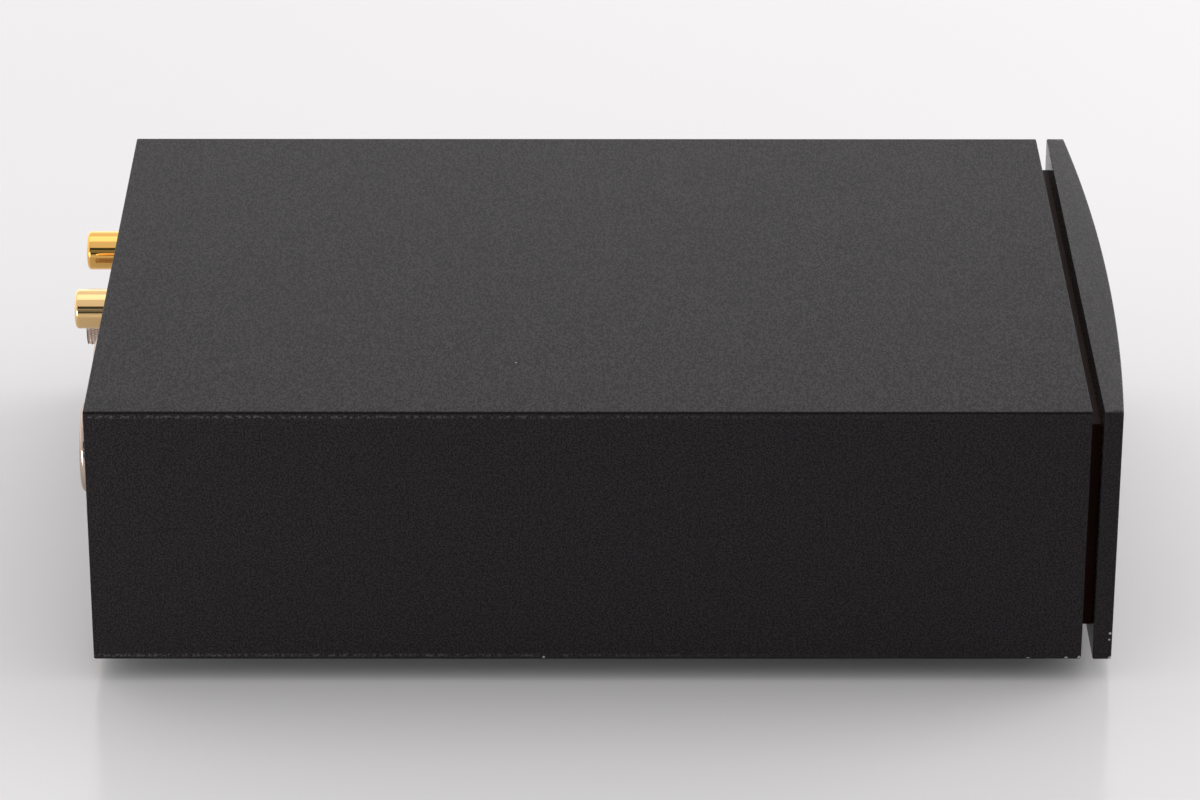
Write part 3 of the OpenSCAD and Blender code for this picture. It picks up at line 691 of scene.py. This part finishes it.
    def mesh(self, name: str) -> bpy.types.Mesh:
        """The form as a mesh in metres."""
        made = bpy.data.meshes.new(name)
        self.place(Matrix.Scale(MM, 4))
        self.bm.to_mesh(made)
        self.bm.free()
        return made

    def without(self, *cutters: "Form") -> "Form":
        """Cuts other forms out of this one.

        Args:
            cutters: The forms to take away, which are used up.

        Returns:
            This form.
        """
        body = linked("cut_body", self.mesh("cut_body"))
        tools = []
        for cutter in cutters:
            tool = linked("cut_tool", cutter.mesh("cut_tool"))
            modifier = body.modifiers.new("cut", "BOOLEAN")
            modifier.operation, modifier.solver, modifier.object = "DIFFERENCE", "EXACT", tool
            tools.append(tool)
        bpy.context.view_layer.update()
        result = body.evaluated_get(bpy.context.evaluated_depsgraph_get()).to_mesh()
        self.bm = bmesh.new()
        self.bm.from_mesh(result)
        for spare in (body, *tools):
            bpy.data.objects.remove(spare)
        return self.place(Matrix.Scale(1 / MM, 4))


def arc(radius_at: float, height_at: float, radius: float, start: float, end: float, steps: int = 8) -> list[Point]:
    """Points of an arc in a lathe's outline, with angles in degrees from the radius's direction."""
    turns = [math.radians(start + (end - start) * i / steps) for i in range(steps + 1)]
    return [(radius_at + radius * math.cos(turn), height_at + radius * math.sin(turn)) for turn in turns]


class Workshop:
    """Turns forms into pieces that ride on the model's bodies, and dresses its nodes."""

    def piece(self, form: Form, name: str, finish: Finish, slot: str, *nodes: str, body: str = ROOT,
              angle: float = 35.0) -> bpy.types.Object:
        """Makes a piece that stands for some nodes.

        Args:
            form: The piece's form, which is used up.
            name: The piece's name.
            finish: Its finish.
            slot: Not used.
            nodes: The nodes that it replaces.
            body: The body that it rides on.
            angle: Edges that turn more than this many degrees shade sharp.

        Returns:
            The piece.
        """
        mesh = form.mesh(name)
        mesh.materials.append(finish.material())
        mesh.shade_smooth()
        mesh.set_sharp_from_angle(angle=math.radians(angle))
        made = linked(name, mesh)
        weighted = made.modifiers.new("weighted", "WEIGHTED_NORMAL")
        weighted.keep_sharp = True
        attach(made, body)
        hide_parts(*nodes)
        log.info("%s: %d faces on %s, for %s", name, len(mesh.polygons), body, ", ".join(nodes))
        return made

    def dress(self, finish: Finish, *nodes: str) -> None:
        """Gives some of the model's own nodes a finish."""
        for name in nodes:
            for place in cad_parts[name].material_slots:
                place.material = finish.material()
            log.info("%s: dressed in %s", name, finish.name)


# ---- Placing ----

SLEEVE_FRONT, SLEEVE_REAR = -100.3, 99.7
FASCIA_BACK, FASCIA_FRONT = -102.6, -109.35
PANEL_FACE, PANEL_T = 99.2, 2.0
CASE_BOTTOM, CASE_TOP, MID_Z = 5.0, 60.7, 32.85
HALF_W = 69.4
SOCKET_X, SOCKET_Z, DIN_Z = (17.4, 48.0), 43.0, 42.5
TERMINAL_X, TERMINAL_Z = 32.7, 32.8


def facing_rear(x: float, z: float) -> Matrix:
    """Puts a form's Z axis along the way out of the rear panel's face, and its Y axis downward."""
    return Matrix.Translation((x, PANEL_FACE, z)) @ Matrix.Rotation(-math.pi / 2, 4, "X")


def upright(x: float = 0.0, y: float = 0.0, z: float = 0.0) -> Matrix:
    """Turns an outline that was drawn in X-Z to face the front."""
    return Matrix.Translation((x, y, z)) @ Matrix.Rotation(math.pi / 2, 4, "X")


def rectangle(half_w: float, low: float, high: float) -> list[Point]:
    """Corners of a rectangle that is centred on x = 0."""
    return [(-half_w, low), (half_w, low), (half_w, high), (-half_w, high)]


# ---- The object ----


@dataclass
class Case:
    """The sleeve, what closes its ends, and the feet."""

    wall: float = 2.0
    edge_r: float = 0.5
    rail_low: float = 8.8
    rail_t: float = 1.5
    rail_w: float = 3.0
    fascia_end_t: float = 3.8
    fascia_edge_r: float = 0.35
    light_pipe_r: float = 1.5
    spacer_hole_r: float = 2.5
    reveal: float = 5.2
    play: float = 0.3
    phono_hole_r: float = 5.5
    din_hole_r: float = 7.7
    terminal_hole_r: float = 2.06
    screw_hole_r: float = 2.85
    screw_x: tuple[float, ...] = (-44.0, 0.0, 44.0)
    screw_z: float = 15.0
    foot_x: float = 49.4
    foot_y: tuple[float, float] = (-78.3, 77.7)
    foot_r: float = 8.5
    foot_hole_r: float = 1.7
    foot_pocket_r: float = 3.6
    foot_pocket_z: float = 3.2

    def inner_outline(self, clear: float, notch: float) -> list[Point]:
        """Corners of the sleeve's inside, with a notch for each rail, as seen in X-Z.

        Args:
            clear: How far the outline stays from the sleeve's wall.
            notch: How far a notch reaches in from the outline.
        """
        half, low, high = HALF_W - self.wall - clear, CASE_BOTTOM + self.wall + clear, CASE_TOP - self.wall - clear
        under, over = self.rail_low - clear, self.rail_low + self.rail_t + clear
        right = [(half, under), (half - notch, under), (half - notch, over), (half, over)]
        left = [(-x, z) for x, z in reversed(right)]
        return [(-half, low), (half, low), *right, (half, high), (-half, high), *left]

    def sleeve(self) -> Form:
        """The extruded sleeve with its two inner rails."""
        form = Form()
        outer = form.outline(rectangle(HALF_W, CASE_BOTTOM, CASE_TOP), self.edge_r, 8)
        inner = form.outline(self.inner_outline(0.0, self.rail_w))
        return form.prism(outer + inner, -SLEEVE_REAR, -SLEEVE_FRONT, 0.3).place(upright())

    def fascia(self) -> Form:
        """The bowed fascia, with the light pipe's hole."""
        form = Form()
        crown = FASCIA_BACK - self.fascia_end_t - FASCIA_FRONT
        bow = (HALF_W**2 + crown**2) / (2 * crown)
        first = form.bm.verts.new((-HALF_W, FASCIA_FRONT + crown, 0))
        bmesh.ops.spin(form.bm, geom=[first], cent=(0, FASCIA_FRONT + bow, 0), axis=(0, 0, 1),
                       angle=2 * math.asin(HALF_W / bow), steps=96)
        front = sorted(form.bm.verts, key=lambda vert: vert.co.x)
        back = [form.bm.verts.new((side * HALF_W, FASCIA_BACK, 0)) for side in (1, -1)]
        form.bm.faces.new(front + back)
        corners = [front[0], front[-1], *back]
        bmesh.ops.bevel(form.bm, geom=corners, offset=self.fascia_edge_r, offset_type="OFFSET", segments=4,
                        profile=0.5, affect="VERTICES", material=-1)
        bmesh.ops.delete(form.bm, geom=list(form.bm.faces), context="FACES_ONLY")
        form.prism(list(form.bm.edges), CASE_BOTTOM, CASE_TOP, self.fascia_edge_r)
        hole = Form()
        hole.prism(hole.circle(0, 0, self.light_pipe_r), -FASCIA_BACK - 1, -FASCIA_FRONT + 1, 0)
        return form.without(hole.place(upright(z=MID_Z)))

    def spacer(self) -> Form:
        """The plate in the groove."""
        form = Form()
        corners = rectangle(HALF_W - self.reveal, CASE_BOTTOM + self.reveal, CASE_TOP - self.reveal)
        edges = form.outline(corners, self.edge_r) + form.circle(0, MID_Z, self.spacer_hole_r)
        return form.prism(edges, -SLEEVE_FRONT, -FASCIA_BACK, 0.0).place(upright())

    def rear_panel(self) -> Form:
        """The plate that carries the connectors."""
        form = Form()
        edges = form.outline(self.inner_outline(self.play, self.rail_w + self.play))
        for x in SOCKET_X:
            edges += form.circle(x, SOCKET_Z, self.phono_hole_r)
            edges += form.circle(-x, DIN_Z, self.din_hole_r)
        edges += form.circle(TERMINAL_X, TERMINAL_Z, self.terminal_hole_r)
        for x in self.screw_x:
            edges += form.circle(x, self.screw_z, self.screw_hole_r)
        return form.prism(edges, -PANEL_FACE, PANEL_T - PANEL_FACE, 0.12).place(upright())

    def foot(self, x: float, y: float) -> Form:
        """A tapered foot with a pocket for its screw."""
        profile = [(self.foot_pocket_r, 0), (6.6, 0), (7.3, 0.6), (self.foot_r, 4.4), (self.foot_r, CASE_BOTTOM),
                   (self.foot_hole_r, CASE_BOTTOM), (self.foot_hole_r, self.foot_pocket_z),
                   (self.foot_pocket_r, self.foot_pocket_z)]
        return Form().lathe(profile, 64).soften(0.25, 3, 20).place(Matrix.Translation((x, y, 0)))

    def build(self, shop: Workshop) -> None:
        """Makes and dresses the case."""
        shop.piece(self.sleeve(), "coated_sleeve", CASE_COAT, "case_textured", "sleeve")
        shop.piece(self.fascia(), "bowed_fascia", FASCIA_COAT, "fascia_satin", "fascia")
        shop.piece(self.spacer(), "groove_spacer", SPACER_ANODISED, "spacer_dark", "spacer")
        shop.piece(self.rear_panel(), "rear_plate", PANEL_ANODISED, "panel_black", "rear_panel")
        for row, y in zip(("front", "rear"), self.foot_y):
            for side, x in (("left", -self.foot_x), ("right", self.foot_x)):
                corner = f"{row}_{side}"
                shop.piece(self.foot(x, y), f"rubber_foot_{corner}", RUBBER, "foot_rubber", f"foot_{corner}")
        shop.dress(ZINC, "chassis")
        shop.dress(CLEAR, "light_pipe")
        shop.dress(LED_EPOXY, "power_led")
        shop.dress(SCREW_STEEL, "fascia_screws", "foot_screws", "clinch_nuts")
        shop.dress(SCREW_BLACK, "rear_panel_screws")


@dataclass
class PhonoSocket:
    """One phono socket, built outward from the rear panel's face.

    Attributes:
        side: "left" or "right".
        x: Its place across the panel.
        plating: Finish of its collar and contact.
        ring: Finish of its insulating bush.
        ring_slot: The record's material slot for the bush.
        tip: How far the collar reaches from the panel.
        tail: Where the body ends behind the panel's face.
    """

    side: str
    x: float
    plating: Metal
    ring: Moulding
    ring_slot: str
    radius: float = 4.25
    wall: float = 1.03
    bore_r: float = 2.9
    body_r: float = 3.9
    flange_r: float = 5.8
    flange_y: float = 2.0
    bush_r: float = 6.8
    bush_t: float = 0.8
    spigot_r: float = 5.4
    contact_r: float = 2.1
    pin_r: float = 1.2
    pin_l: float = 4.0
    tip: float = 10.15
    tail: float = -9.0

    def barrel(self) -> Form:
        """The collar with its round lip, the flange and the body behind it."""
        outer, inner, edge = 0.8, 0.2, 0.15
        profile = [(self.bore_r, self.tail), (self.body_r, self.tail), (self.body_r, self.bush_t),
                   (self.flange_r - edge, self.bush_t), (self.flange_r, self.bush_t + edge),
                   (self.flange_r, self.flange_y - edge), (self.flange_r - edge, self.flange_y),
                   (self.radius + edge, self.flange_y), (self.radius, self.flange_y + edge)]
        profile += arc(self.radius - outer, self.tip - outer, outer, 0, 90, 16)
        profile += arc(self.radius - self.wall + inner, self.tip - inner, inner, 90, 180, 6)
        profile += [(self.radius - self.wall, self.flange_y), (self.bore_r, self.flange_y)]
        return Form().lathe(profile, 128)

    def bush(self) -> Form:
        """The insulating washer on the panel, with its spigot."""
        hole = self.body_r + 0.05
        profile = [(hole, -PANEL_T), (self.spigot_r, -PANEL_T), (self.spigot_r, 0), (self.bush_r, 0),
                   (self.bush_r, self.bush_t), (hole, self.bush_t)]
        return Form().lathe(profile).soften(0.12)

    def dielectric(self) -> Form:
        """The centre insulator."""
        front = self.tip - 0.7
        inner, body = self.radius - self.wall - 0.03, self.bore_r - 0.03
        contact, pin = self.contact_r + 0.02, self.pin_r + 0.02
        profile = [(body, self.tail), (body, self.flange_y + 0.05), (inner, self.flange_y + 0.05),
                   (inner, front - 0.2), (inner - 0.2, front), (contact + 0.2, front), (contact, front - 0.2),
                   (contact, -1.02), (pin, -1.02), (pin, self.tail)]
        return Form().lathe(profile)

    def contact(self) -> Form:
        """The centre contact, whose front is split into four leaves."""
        front = self.tip - 1.2
        end = self.tail - self.pin_l
        profile = [(0, 0.4), (1.65, 0.4), (1.65, front - 0.15), (1.8, front), (2.0, front),
                   (self.contact_r, front - 0.1), (self.contact_r, -1), (self.pin_r, -1), (self.pin_r, end),
                   (0, end)]
        slots = [Form().block((-3, -0.16, front - 4.5), (3, 0.16, front + 1)),
                 Form().block((-0.16, -3, front - 4.5), (0.16, 3, front + 1))]
        return Form().lathe(profile, 64).without(*slots)

    def build(self, shop: Workshop) -> None:
        """Makes and dresses the socket."""
        place = facing_rear(self.x, SOCKET_Z)
        for form, word, finish, slot in (
            (self.barrel(), "barrel", self.plating, "gold_plate"),
            (self.bush(), "bush", self.ring, self.ring_slot),
            (self.dielectric(), "dielectric", WHITE_MOULDING, "white_moulding"),
            (self.contact(), "contact", self.plating, "gold_plate"),
        ):
            shop.piece(form.place(place), f"phono_{word}_{self.side}", finish, slot, f"rca_{word}_{self.side}")
        shop.dress(BLACK_MOULDING, f"rca_washer_{self.side}")
        shop.dress(TINNED, f"rca_tag_{self.side}")
        shop.dress(TURNED_BRASS, f"rca_nut_{self.side}")


@dataclass
class DinSocket:
    """One DIN socket, built outward from the rear panel's face.

    Attributes:
        use: "output" or "power".
        x: Its place across the panel.
        angles: Its contacts' places around their circle, in degrees from +X toward the underside.
    """

    use: str
    x: float
    angles: tuple[float, ...]
    rim: float = 2.9
    rim_r: float = 9.2
    mouth_r: float = 6.8
    body_r: float = 7.6
    core_r: float = 5.75
    pin_circle_r: float = 3.5
    tail: float = -10.0

    def shell(self) -> Form:
        """The rounded rim and the barrel through the panel."""
        profile = [(self.mouth_r, self.tail), (self.body_r, self.tail), (self.body_r, 0), (self.rim_r - 0.1, 0),
                   (self.rim_r, 0.1)]
        profile += arc(self.rim_r - 0.9, self.rim - 0.9, 0.9, 0, 90)
        profile += [(self.mouth_r + 0.72, self.rim), (self.mouth_r + 0.6, self.rim - 0.05),
                    (self.mouth_r, self.rim - 0.65)]
        return Form().lathe(profile, 160)

    def pin_places(self) -> list[Point]:
        """Centres of the contacts."""
        turns = [math.radians(angle) for angle in self.angles]
        return [(self.pin_circle_r * math.cos(turn), self.pin_circle_r * math.sin(turn)) for turn in turns]

    def insert(self) -> Form:
        """The moulding: a base, a core with a hole for each contact, and the key."""
        front = self.rim - 1
        form = Form()
        edges = form.circle(0, 0, self.core_r, 96)
        for x, y in self.pin_places():
            edges += form.circle(x, y, 1.0, 32)
        form.prism(edges, -7.5, front, 0.25)
        base = Form()
        form.join(base.prism(base.circle(0, 0, self.mouth_r - 0.03, 96), self.tail, -7, 0.2))
        key = Form().block((-1, 0.1 - self.mouth_r, -7.2), (1, 2.1 - self.mouth_r, front - 1)).soften(0.15)
        return form.join(key)

    def contacts(self) -> Form:
        """A tube for each of the plug's pins, with a solder tail behind it."""
        front = self.rim - 1.9
        profile = [(0, front - 6), (0.75, front - 6), (0.75, front - 0.1), (0.82, front), (0.92, front),
                   (0.97, front - 0.1), (0.97, self.tail + 0.5), (0.55, self.tail + 0.5), (0.55, self.tail - 4),
                   (0, self.tail - 4)]
        form = Form()
        for x, y in self.pin_places():
            form.join(Form().lathe(profile, 32), Matrix.Translation((x, y, 0)))
        return form

    def build(self, shop: Workshop) -> None:
        """Makes and dresses the socket."""
        place = facing_rear(self.x, DIN_Z)
        for form, word, finish, slot in (
            (self.shell(), "shell", NICKEL, "nickel_plate"),
            (self.insert(), "insert", BLACK_MOULDING, "black_moulding"),
            (self.contacts(), "contacts", TURNED_BRASS, "contact_brass"),
        ):
            shop.piece(form.place(place), f"socket_{word}_{self.use}", finish, slot, f"din_{word}_{self.use}")
        shop.dress(NICKEL, f"din_nut_{self.use}")


@dataclass
class GroundTerminal:
    """The ground terminal, built outward from the rear panel's face."""

    stud_r: float = 1.96
    pitch: float = 0.7
    thread_depth: float = 0.28
    head_r: float = 4.04
    lock_nut_w: float = 7.0
    lock_nut_t: float = 2.4
    washer_t: float = 0.8
    nut_start: float = 3.3
    nut_end: float = 9.3
    nut_r: float = 5.0
    knurl_depth: float = 0.3
    knurl_teeth: int = 48
    knurl_step: float = 0.7

    def stud(self) -> Form:
        """The stud with its head behind the panel and its thread's crests."""
        profile = [(0, -2.6), (self.stud_r, -2.6)]
        height = -2.4
        while height < self.nut_end - 1.6:
            profile += [(self.stud_r - self.thread_depth, height), (self.stud_r, height + self.pitch / 2)]
            height += self.pitch
        profile += [(self.stud_r - 0.3, self.nut_end - 0.7), (self.stud_r - 0.6, self.nut_end - 0.6),
                    (0, self.nut_end - 0.6)]
        head = Form()
        head.prism(head.circle(0, 0, self.head_r, 6), -5.3, -2.5, 0.2)
        return Form().lathe(profile, 48).join(head)

    def lock_nut(self) -> Form:
        """The hexagonal nut on the panel."""
        form = Form()
        edges = form.circle(0, 0, self.lock_nut_w / math.sqrt(3), 6) + form.circle(0, 0, self.stud_r + 0.04, 48)
        return form.prism(edges, 0, self.lock_nut_t, 0.25)

    def washer(self) -> Form:
        """The washer under the thumb nut."""
        low = self.lock_nut_t + 0.05
        inner, outer = self.stud_r + 0.06, self.nut_r - 0.15
        profile = [(inner, low), (outer, low), (outer, low + self.washer_t), (inner, low + self.washer_t)]
        return Form().lathe(profile).soften(0.12)

    def thumb_nut(self) -> Form:
        """The thumb nut, with a diamond knurl between its collars."""
        collar, edge = 0.2, 0.12
        root = self.nut_r - self.knurl_depth
        bore = self.stud_r + 0.05
        low, high = self.nut_start + collar, self.nut_end - collar
        rows = round((high - low) / self.knurl_step)
        form = Form()
        column = [form.bm.verts.new((root, 0, low + (high - low) * i / rows)) for i in range(rows + 1)]
        lines = [form.bm.edges.new(pair) for pair in zip(column, column[1:])]
        bmesh.ops.spin(form.bm, geom=column + lines, cent=(0, 0, 0), axis=(0, 0, 1), angle=math.tau,
                       steps=2 * self.knurl_teeth, use_merge=True)
        valleys = []
        for vert in form.bm.verts:
            around = round(math.atan2(vert.co.y, vert.co.x) / math.tau * 2 * self.knurl_teeth)
            along = round((vert.co.z - low) / (high - low) * rows)
            if (around + along) % 2 and 0 < along < rows:
                vert.co.xy *= self.nut_r / root
            elif not (around + along) % 2:
                valleys.append(vert)
        bmesh.ops.connect_verts(form.bm, verts=valleys)
        for end in (low, high):
            way = -1 if end == low else 1
            face = self.nut_start if end == low else self.nut_end
            rim = [line for line in form.bm.edges if line.is_boundary
                   and all(abs(vert.co.z - end) < 0.01 for vert in line.verts)]
            for radius, height in ((self.nut_r - 0.1, face - way * edge),
                                   (self.nut_r - 0.14, face - way * edge * 0.3), (self.nut_r - 0.25, face),
                                   (bore + 0.3, face), (bore, face - way * 0.3)):
                grown = bmesh.ops.extrude_edge_only(form.bm, edges=rim)["geom"]
                rim = [item for item in grown if isinstance(item, bmesh.types.BMEdge)]
                for vert in (item for item in grown if isinstance(item, bmesh.types.BMVert)):
                    vert.co.xy = vert.co.xy.normalized() * radius
                    vert.co.z = height
        bmesh.ops.bridge_loops(form.bm, edges=[line for line in form.bm.edges if line.is_boundary])
        bmesh.ops.recalc_face_normals(form.bm, faces=form.bm.faces)
        return form

    def build(self, shop: Workshop) -> None:
        """Makes and dresses the terminal."""
        place = facing_rear(TERMINAL_X, TERMINAL_Z)
        for form, word, finish, body, angle in (
            (self.stud(), "stud", NICKEL, ROOT, 35.0),
            (self.lock_nut(), "lock_nut", NICKEL, ROOT, 35.0),
            (self.washer(), "washer", NICKEL, WASHER_BODY, 35.0),
            (self.thumb_nut(), "thumb_nut", KNURL_NICKEL, NUT_BODY, 20.0),
        ):
            name = "knurled_thumb_nut" if body == NUT_BODY else f"terminal_{word}"
            shop.piece(form.place(place), name, finish, "nickel_plate", f"ground_{word}", body=body, angle=angle)
        shop.dress(TINNED, "ground_tag")


class Electronics:
    """The circuit board, what is on it and the wiring to the rear panel."""

    finishes: dict[Finish, tuple[str, ...]] = {
        BOARD: ("circuit_board",),
        TURNED_BRASS: ("standoffs",),
        SCREW_STEEL: ("board_screws", "regulator_screws"),
        BLACK_MOULDING: ("ic_sockets",),
        CHIP_MOULDING: ("op_amps", "regulators"),
        FILM_BOX: ("film_capacitors",),
        RESISTOR: ("resistors",),
        SMALL_CAN: ("electrolytic_capacitors",),
        BIG_CAN: ("reservoir_capacitors",),
        DIODE: ("rectifier_diodes",),
        HEATSINK_ANODISED: ("heatsinks",),
        WHITE_MOULDING: ("wire_headers",),
        **{finish: (node,) for node, finish in LEADS.items()},
    }

    def build(self, shop: Workshop) -> None:
        """Dresses everything inside the case."""
        for finish, nodes in self.finishes.items():
            shop.dress(finish, *nodes)


# ---- The studio ----


@dataclass
class Studio:
    """A white table, soft light and the camera."""

    camera_at: tuple[float, float, float] = (-968.9, 2.1, 500.75)
    lens: float = 151.9
    yaw: float = 0.0053
    pitch: float = 0.4525
    roll: float = 0.0026
    near_side: Colour = (0.758, 0.747, 0.753)
    far_low: Colour = (1.600, 1.580, 1.591)
    far_high: Colour = (0.950, 0.938, 0.945)
    gap_dark: Colour = (0.05, 0.06, 0.06)
    gap_things: Colour = (0.62, 0.62, 0.66)
    warm: Colour = (1.0, 0.985, 0.992)

    def camera(self) -> None:
        """Sets up the camera, which looks along +X and down."""
        data = bpy.data.cameras.new("camera")
        data.lens, data.sensor_width, data.clip_start, data.clip_end = self.lens, 36.0, 0.01, 50.0
        made = linked("camera", data)
        quarter = math.pi / 2
        made.matrix_world = (Matrix.Translation(Vector(self.camera_at) * MM)
                             @ Matrix.Rotation(-quarter - self.yaw, 4, "Z")
                             @ Matrix.Rotation(quarter - self.pitch, 4, "X") @ Matrix.Rotation(self.roll, 4, "Z"))
        bpy.context.scene.camera = made

    def lamp(self, name: str, place: Sequence[float], aim: Sequence[float], size: Point, power: float) -> None:
        """Adds a soft box.

        Args:
            name: Its name.
            place: Where it stands, in metres.
            aim: The point that it faces, in metres.
            size: Its width and height, in metres.
            power: Its power, in watts.
        """
        data = bpy.data.lights.new(name, "AREA")
        data.shape, data.size, data.size_y = "RECTANGLE", *size
        data.energy, data.color = power, self.warm
        turn = (Vector(aim) - Vector(place)).to_track_quat("-Z", "Y")
        linked(name, data).matrix_world = Matrix.Translation(place) @ turn.to_matrix().to_4x4()

    def table(self) -> None:
        """Adds the table, which is no part of the object."""
        bm = bmesh.new()
        bmesh.ops.create_grid(bm, x_segments=8, y_segments=8, size=5.0)
        mesh = bpy.data.meshes.new("table")
        bm.to_mesh(mesh)
        bm.free()
        mesh.materials.append(TABLE.material())
        made = linked("table", mesh)

    def surroundings(self) -> None:
        """Sets the room: an even white, with the dark gap that the camera looks through."""
        world = bpy.data.worlds.new("room")
        bpy.context.scene.world = world
        kit = Shading(world)
        way = kit.node("ShaderNodeTexCoord", output="Generated")
        x, y, z = (kit.node("ShaderNodeSeparateXYZ", {}, {0: way}, name) for name in ("X", "Y", "Z"))
        far = kit.mix(z.step(0.30, 0.58), opaque(self.far_low), opaque(self.far_high))
        white = kit.mix(x.step(-0.9, 0.9), opaque(self.near_side), far)
        gap = x.step(0.0, -0.3) * abs(y - 0.1).step(0.30, 0.22) * z.step(0.635, 0.605)
        things = kit.node("ShaderNodeTexNoise", {}, {"Vector": way, "Scale": 14.0, "Detail": 3.0})
        low = z.step(0.44, 0.38) * z.step(0.08, 0.17)
        dark = kit.mix(things.step(0.44, 0.62) * low, opaque(self.gap_dark), opaque(self.gap_things))
        background = kit.node("ShaderNodeBackground", {}, {"Color": kit.mix(gap, white, dark)})
        kit.close(background, "ShaderNodeOutputWorld")

    def build(self) -> None:
        """Sets up the whole studio."""
        bpy.context.scene.view_settings.view_transform = "Standard"
        self.camera()
        self.table()
        self.surroundings()
        self.lamp("overhead", (0.22, 0.0, 1.4), (0.22, 0.0, 0.0), (0.9, 2.2), 3.9)
        self.lamp("rear_window", (-0.38, 0.36, 0.05), (-0.07, 0.06, 0.03), (0.2, 0.12), 0.97)
        self.lamp("front_window", (0.25, -1.1, 0.6), (0.0, -0.15, 0.0), (1.0, 0.7), 6.4)


def main() -> None:
    """Builds the studio and the object, in order."""
    logging.basicConfig(level=logging.INFO, format="%(name)s: %(message)s")
    Studio().build()
    shop = Workshop()
    Case().build(shop)
    near, far = SOCKET_X
    PhonoSocket("left", near, PALE_GOLD, WHITE_MOULDING, "white_moulding").build(shop)
    PhonoSocket("right", far, DEEP_GOLD, RED_MOULDING, "red_moulding").build(shop)
    DinSocket("output", -near, (0, 45, 90, 135, 180)).build(shop)
    DinSocket("power", -far, (0, 90, 180)).build(shop)
    GroundTerminal().build(shop)
    Electronics().build(shop)


if __name__ == "__main__":
    main()
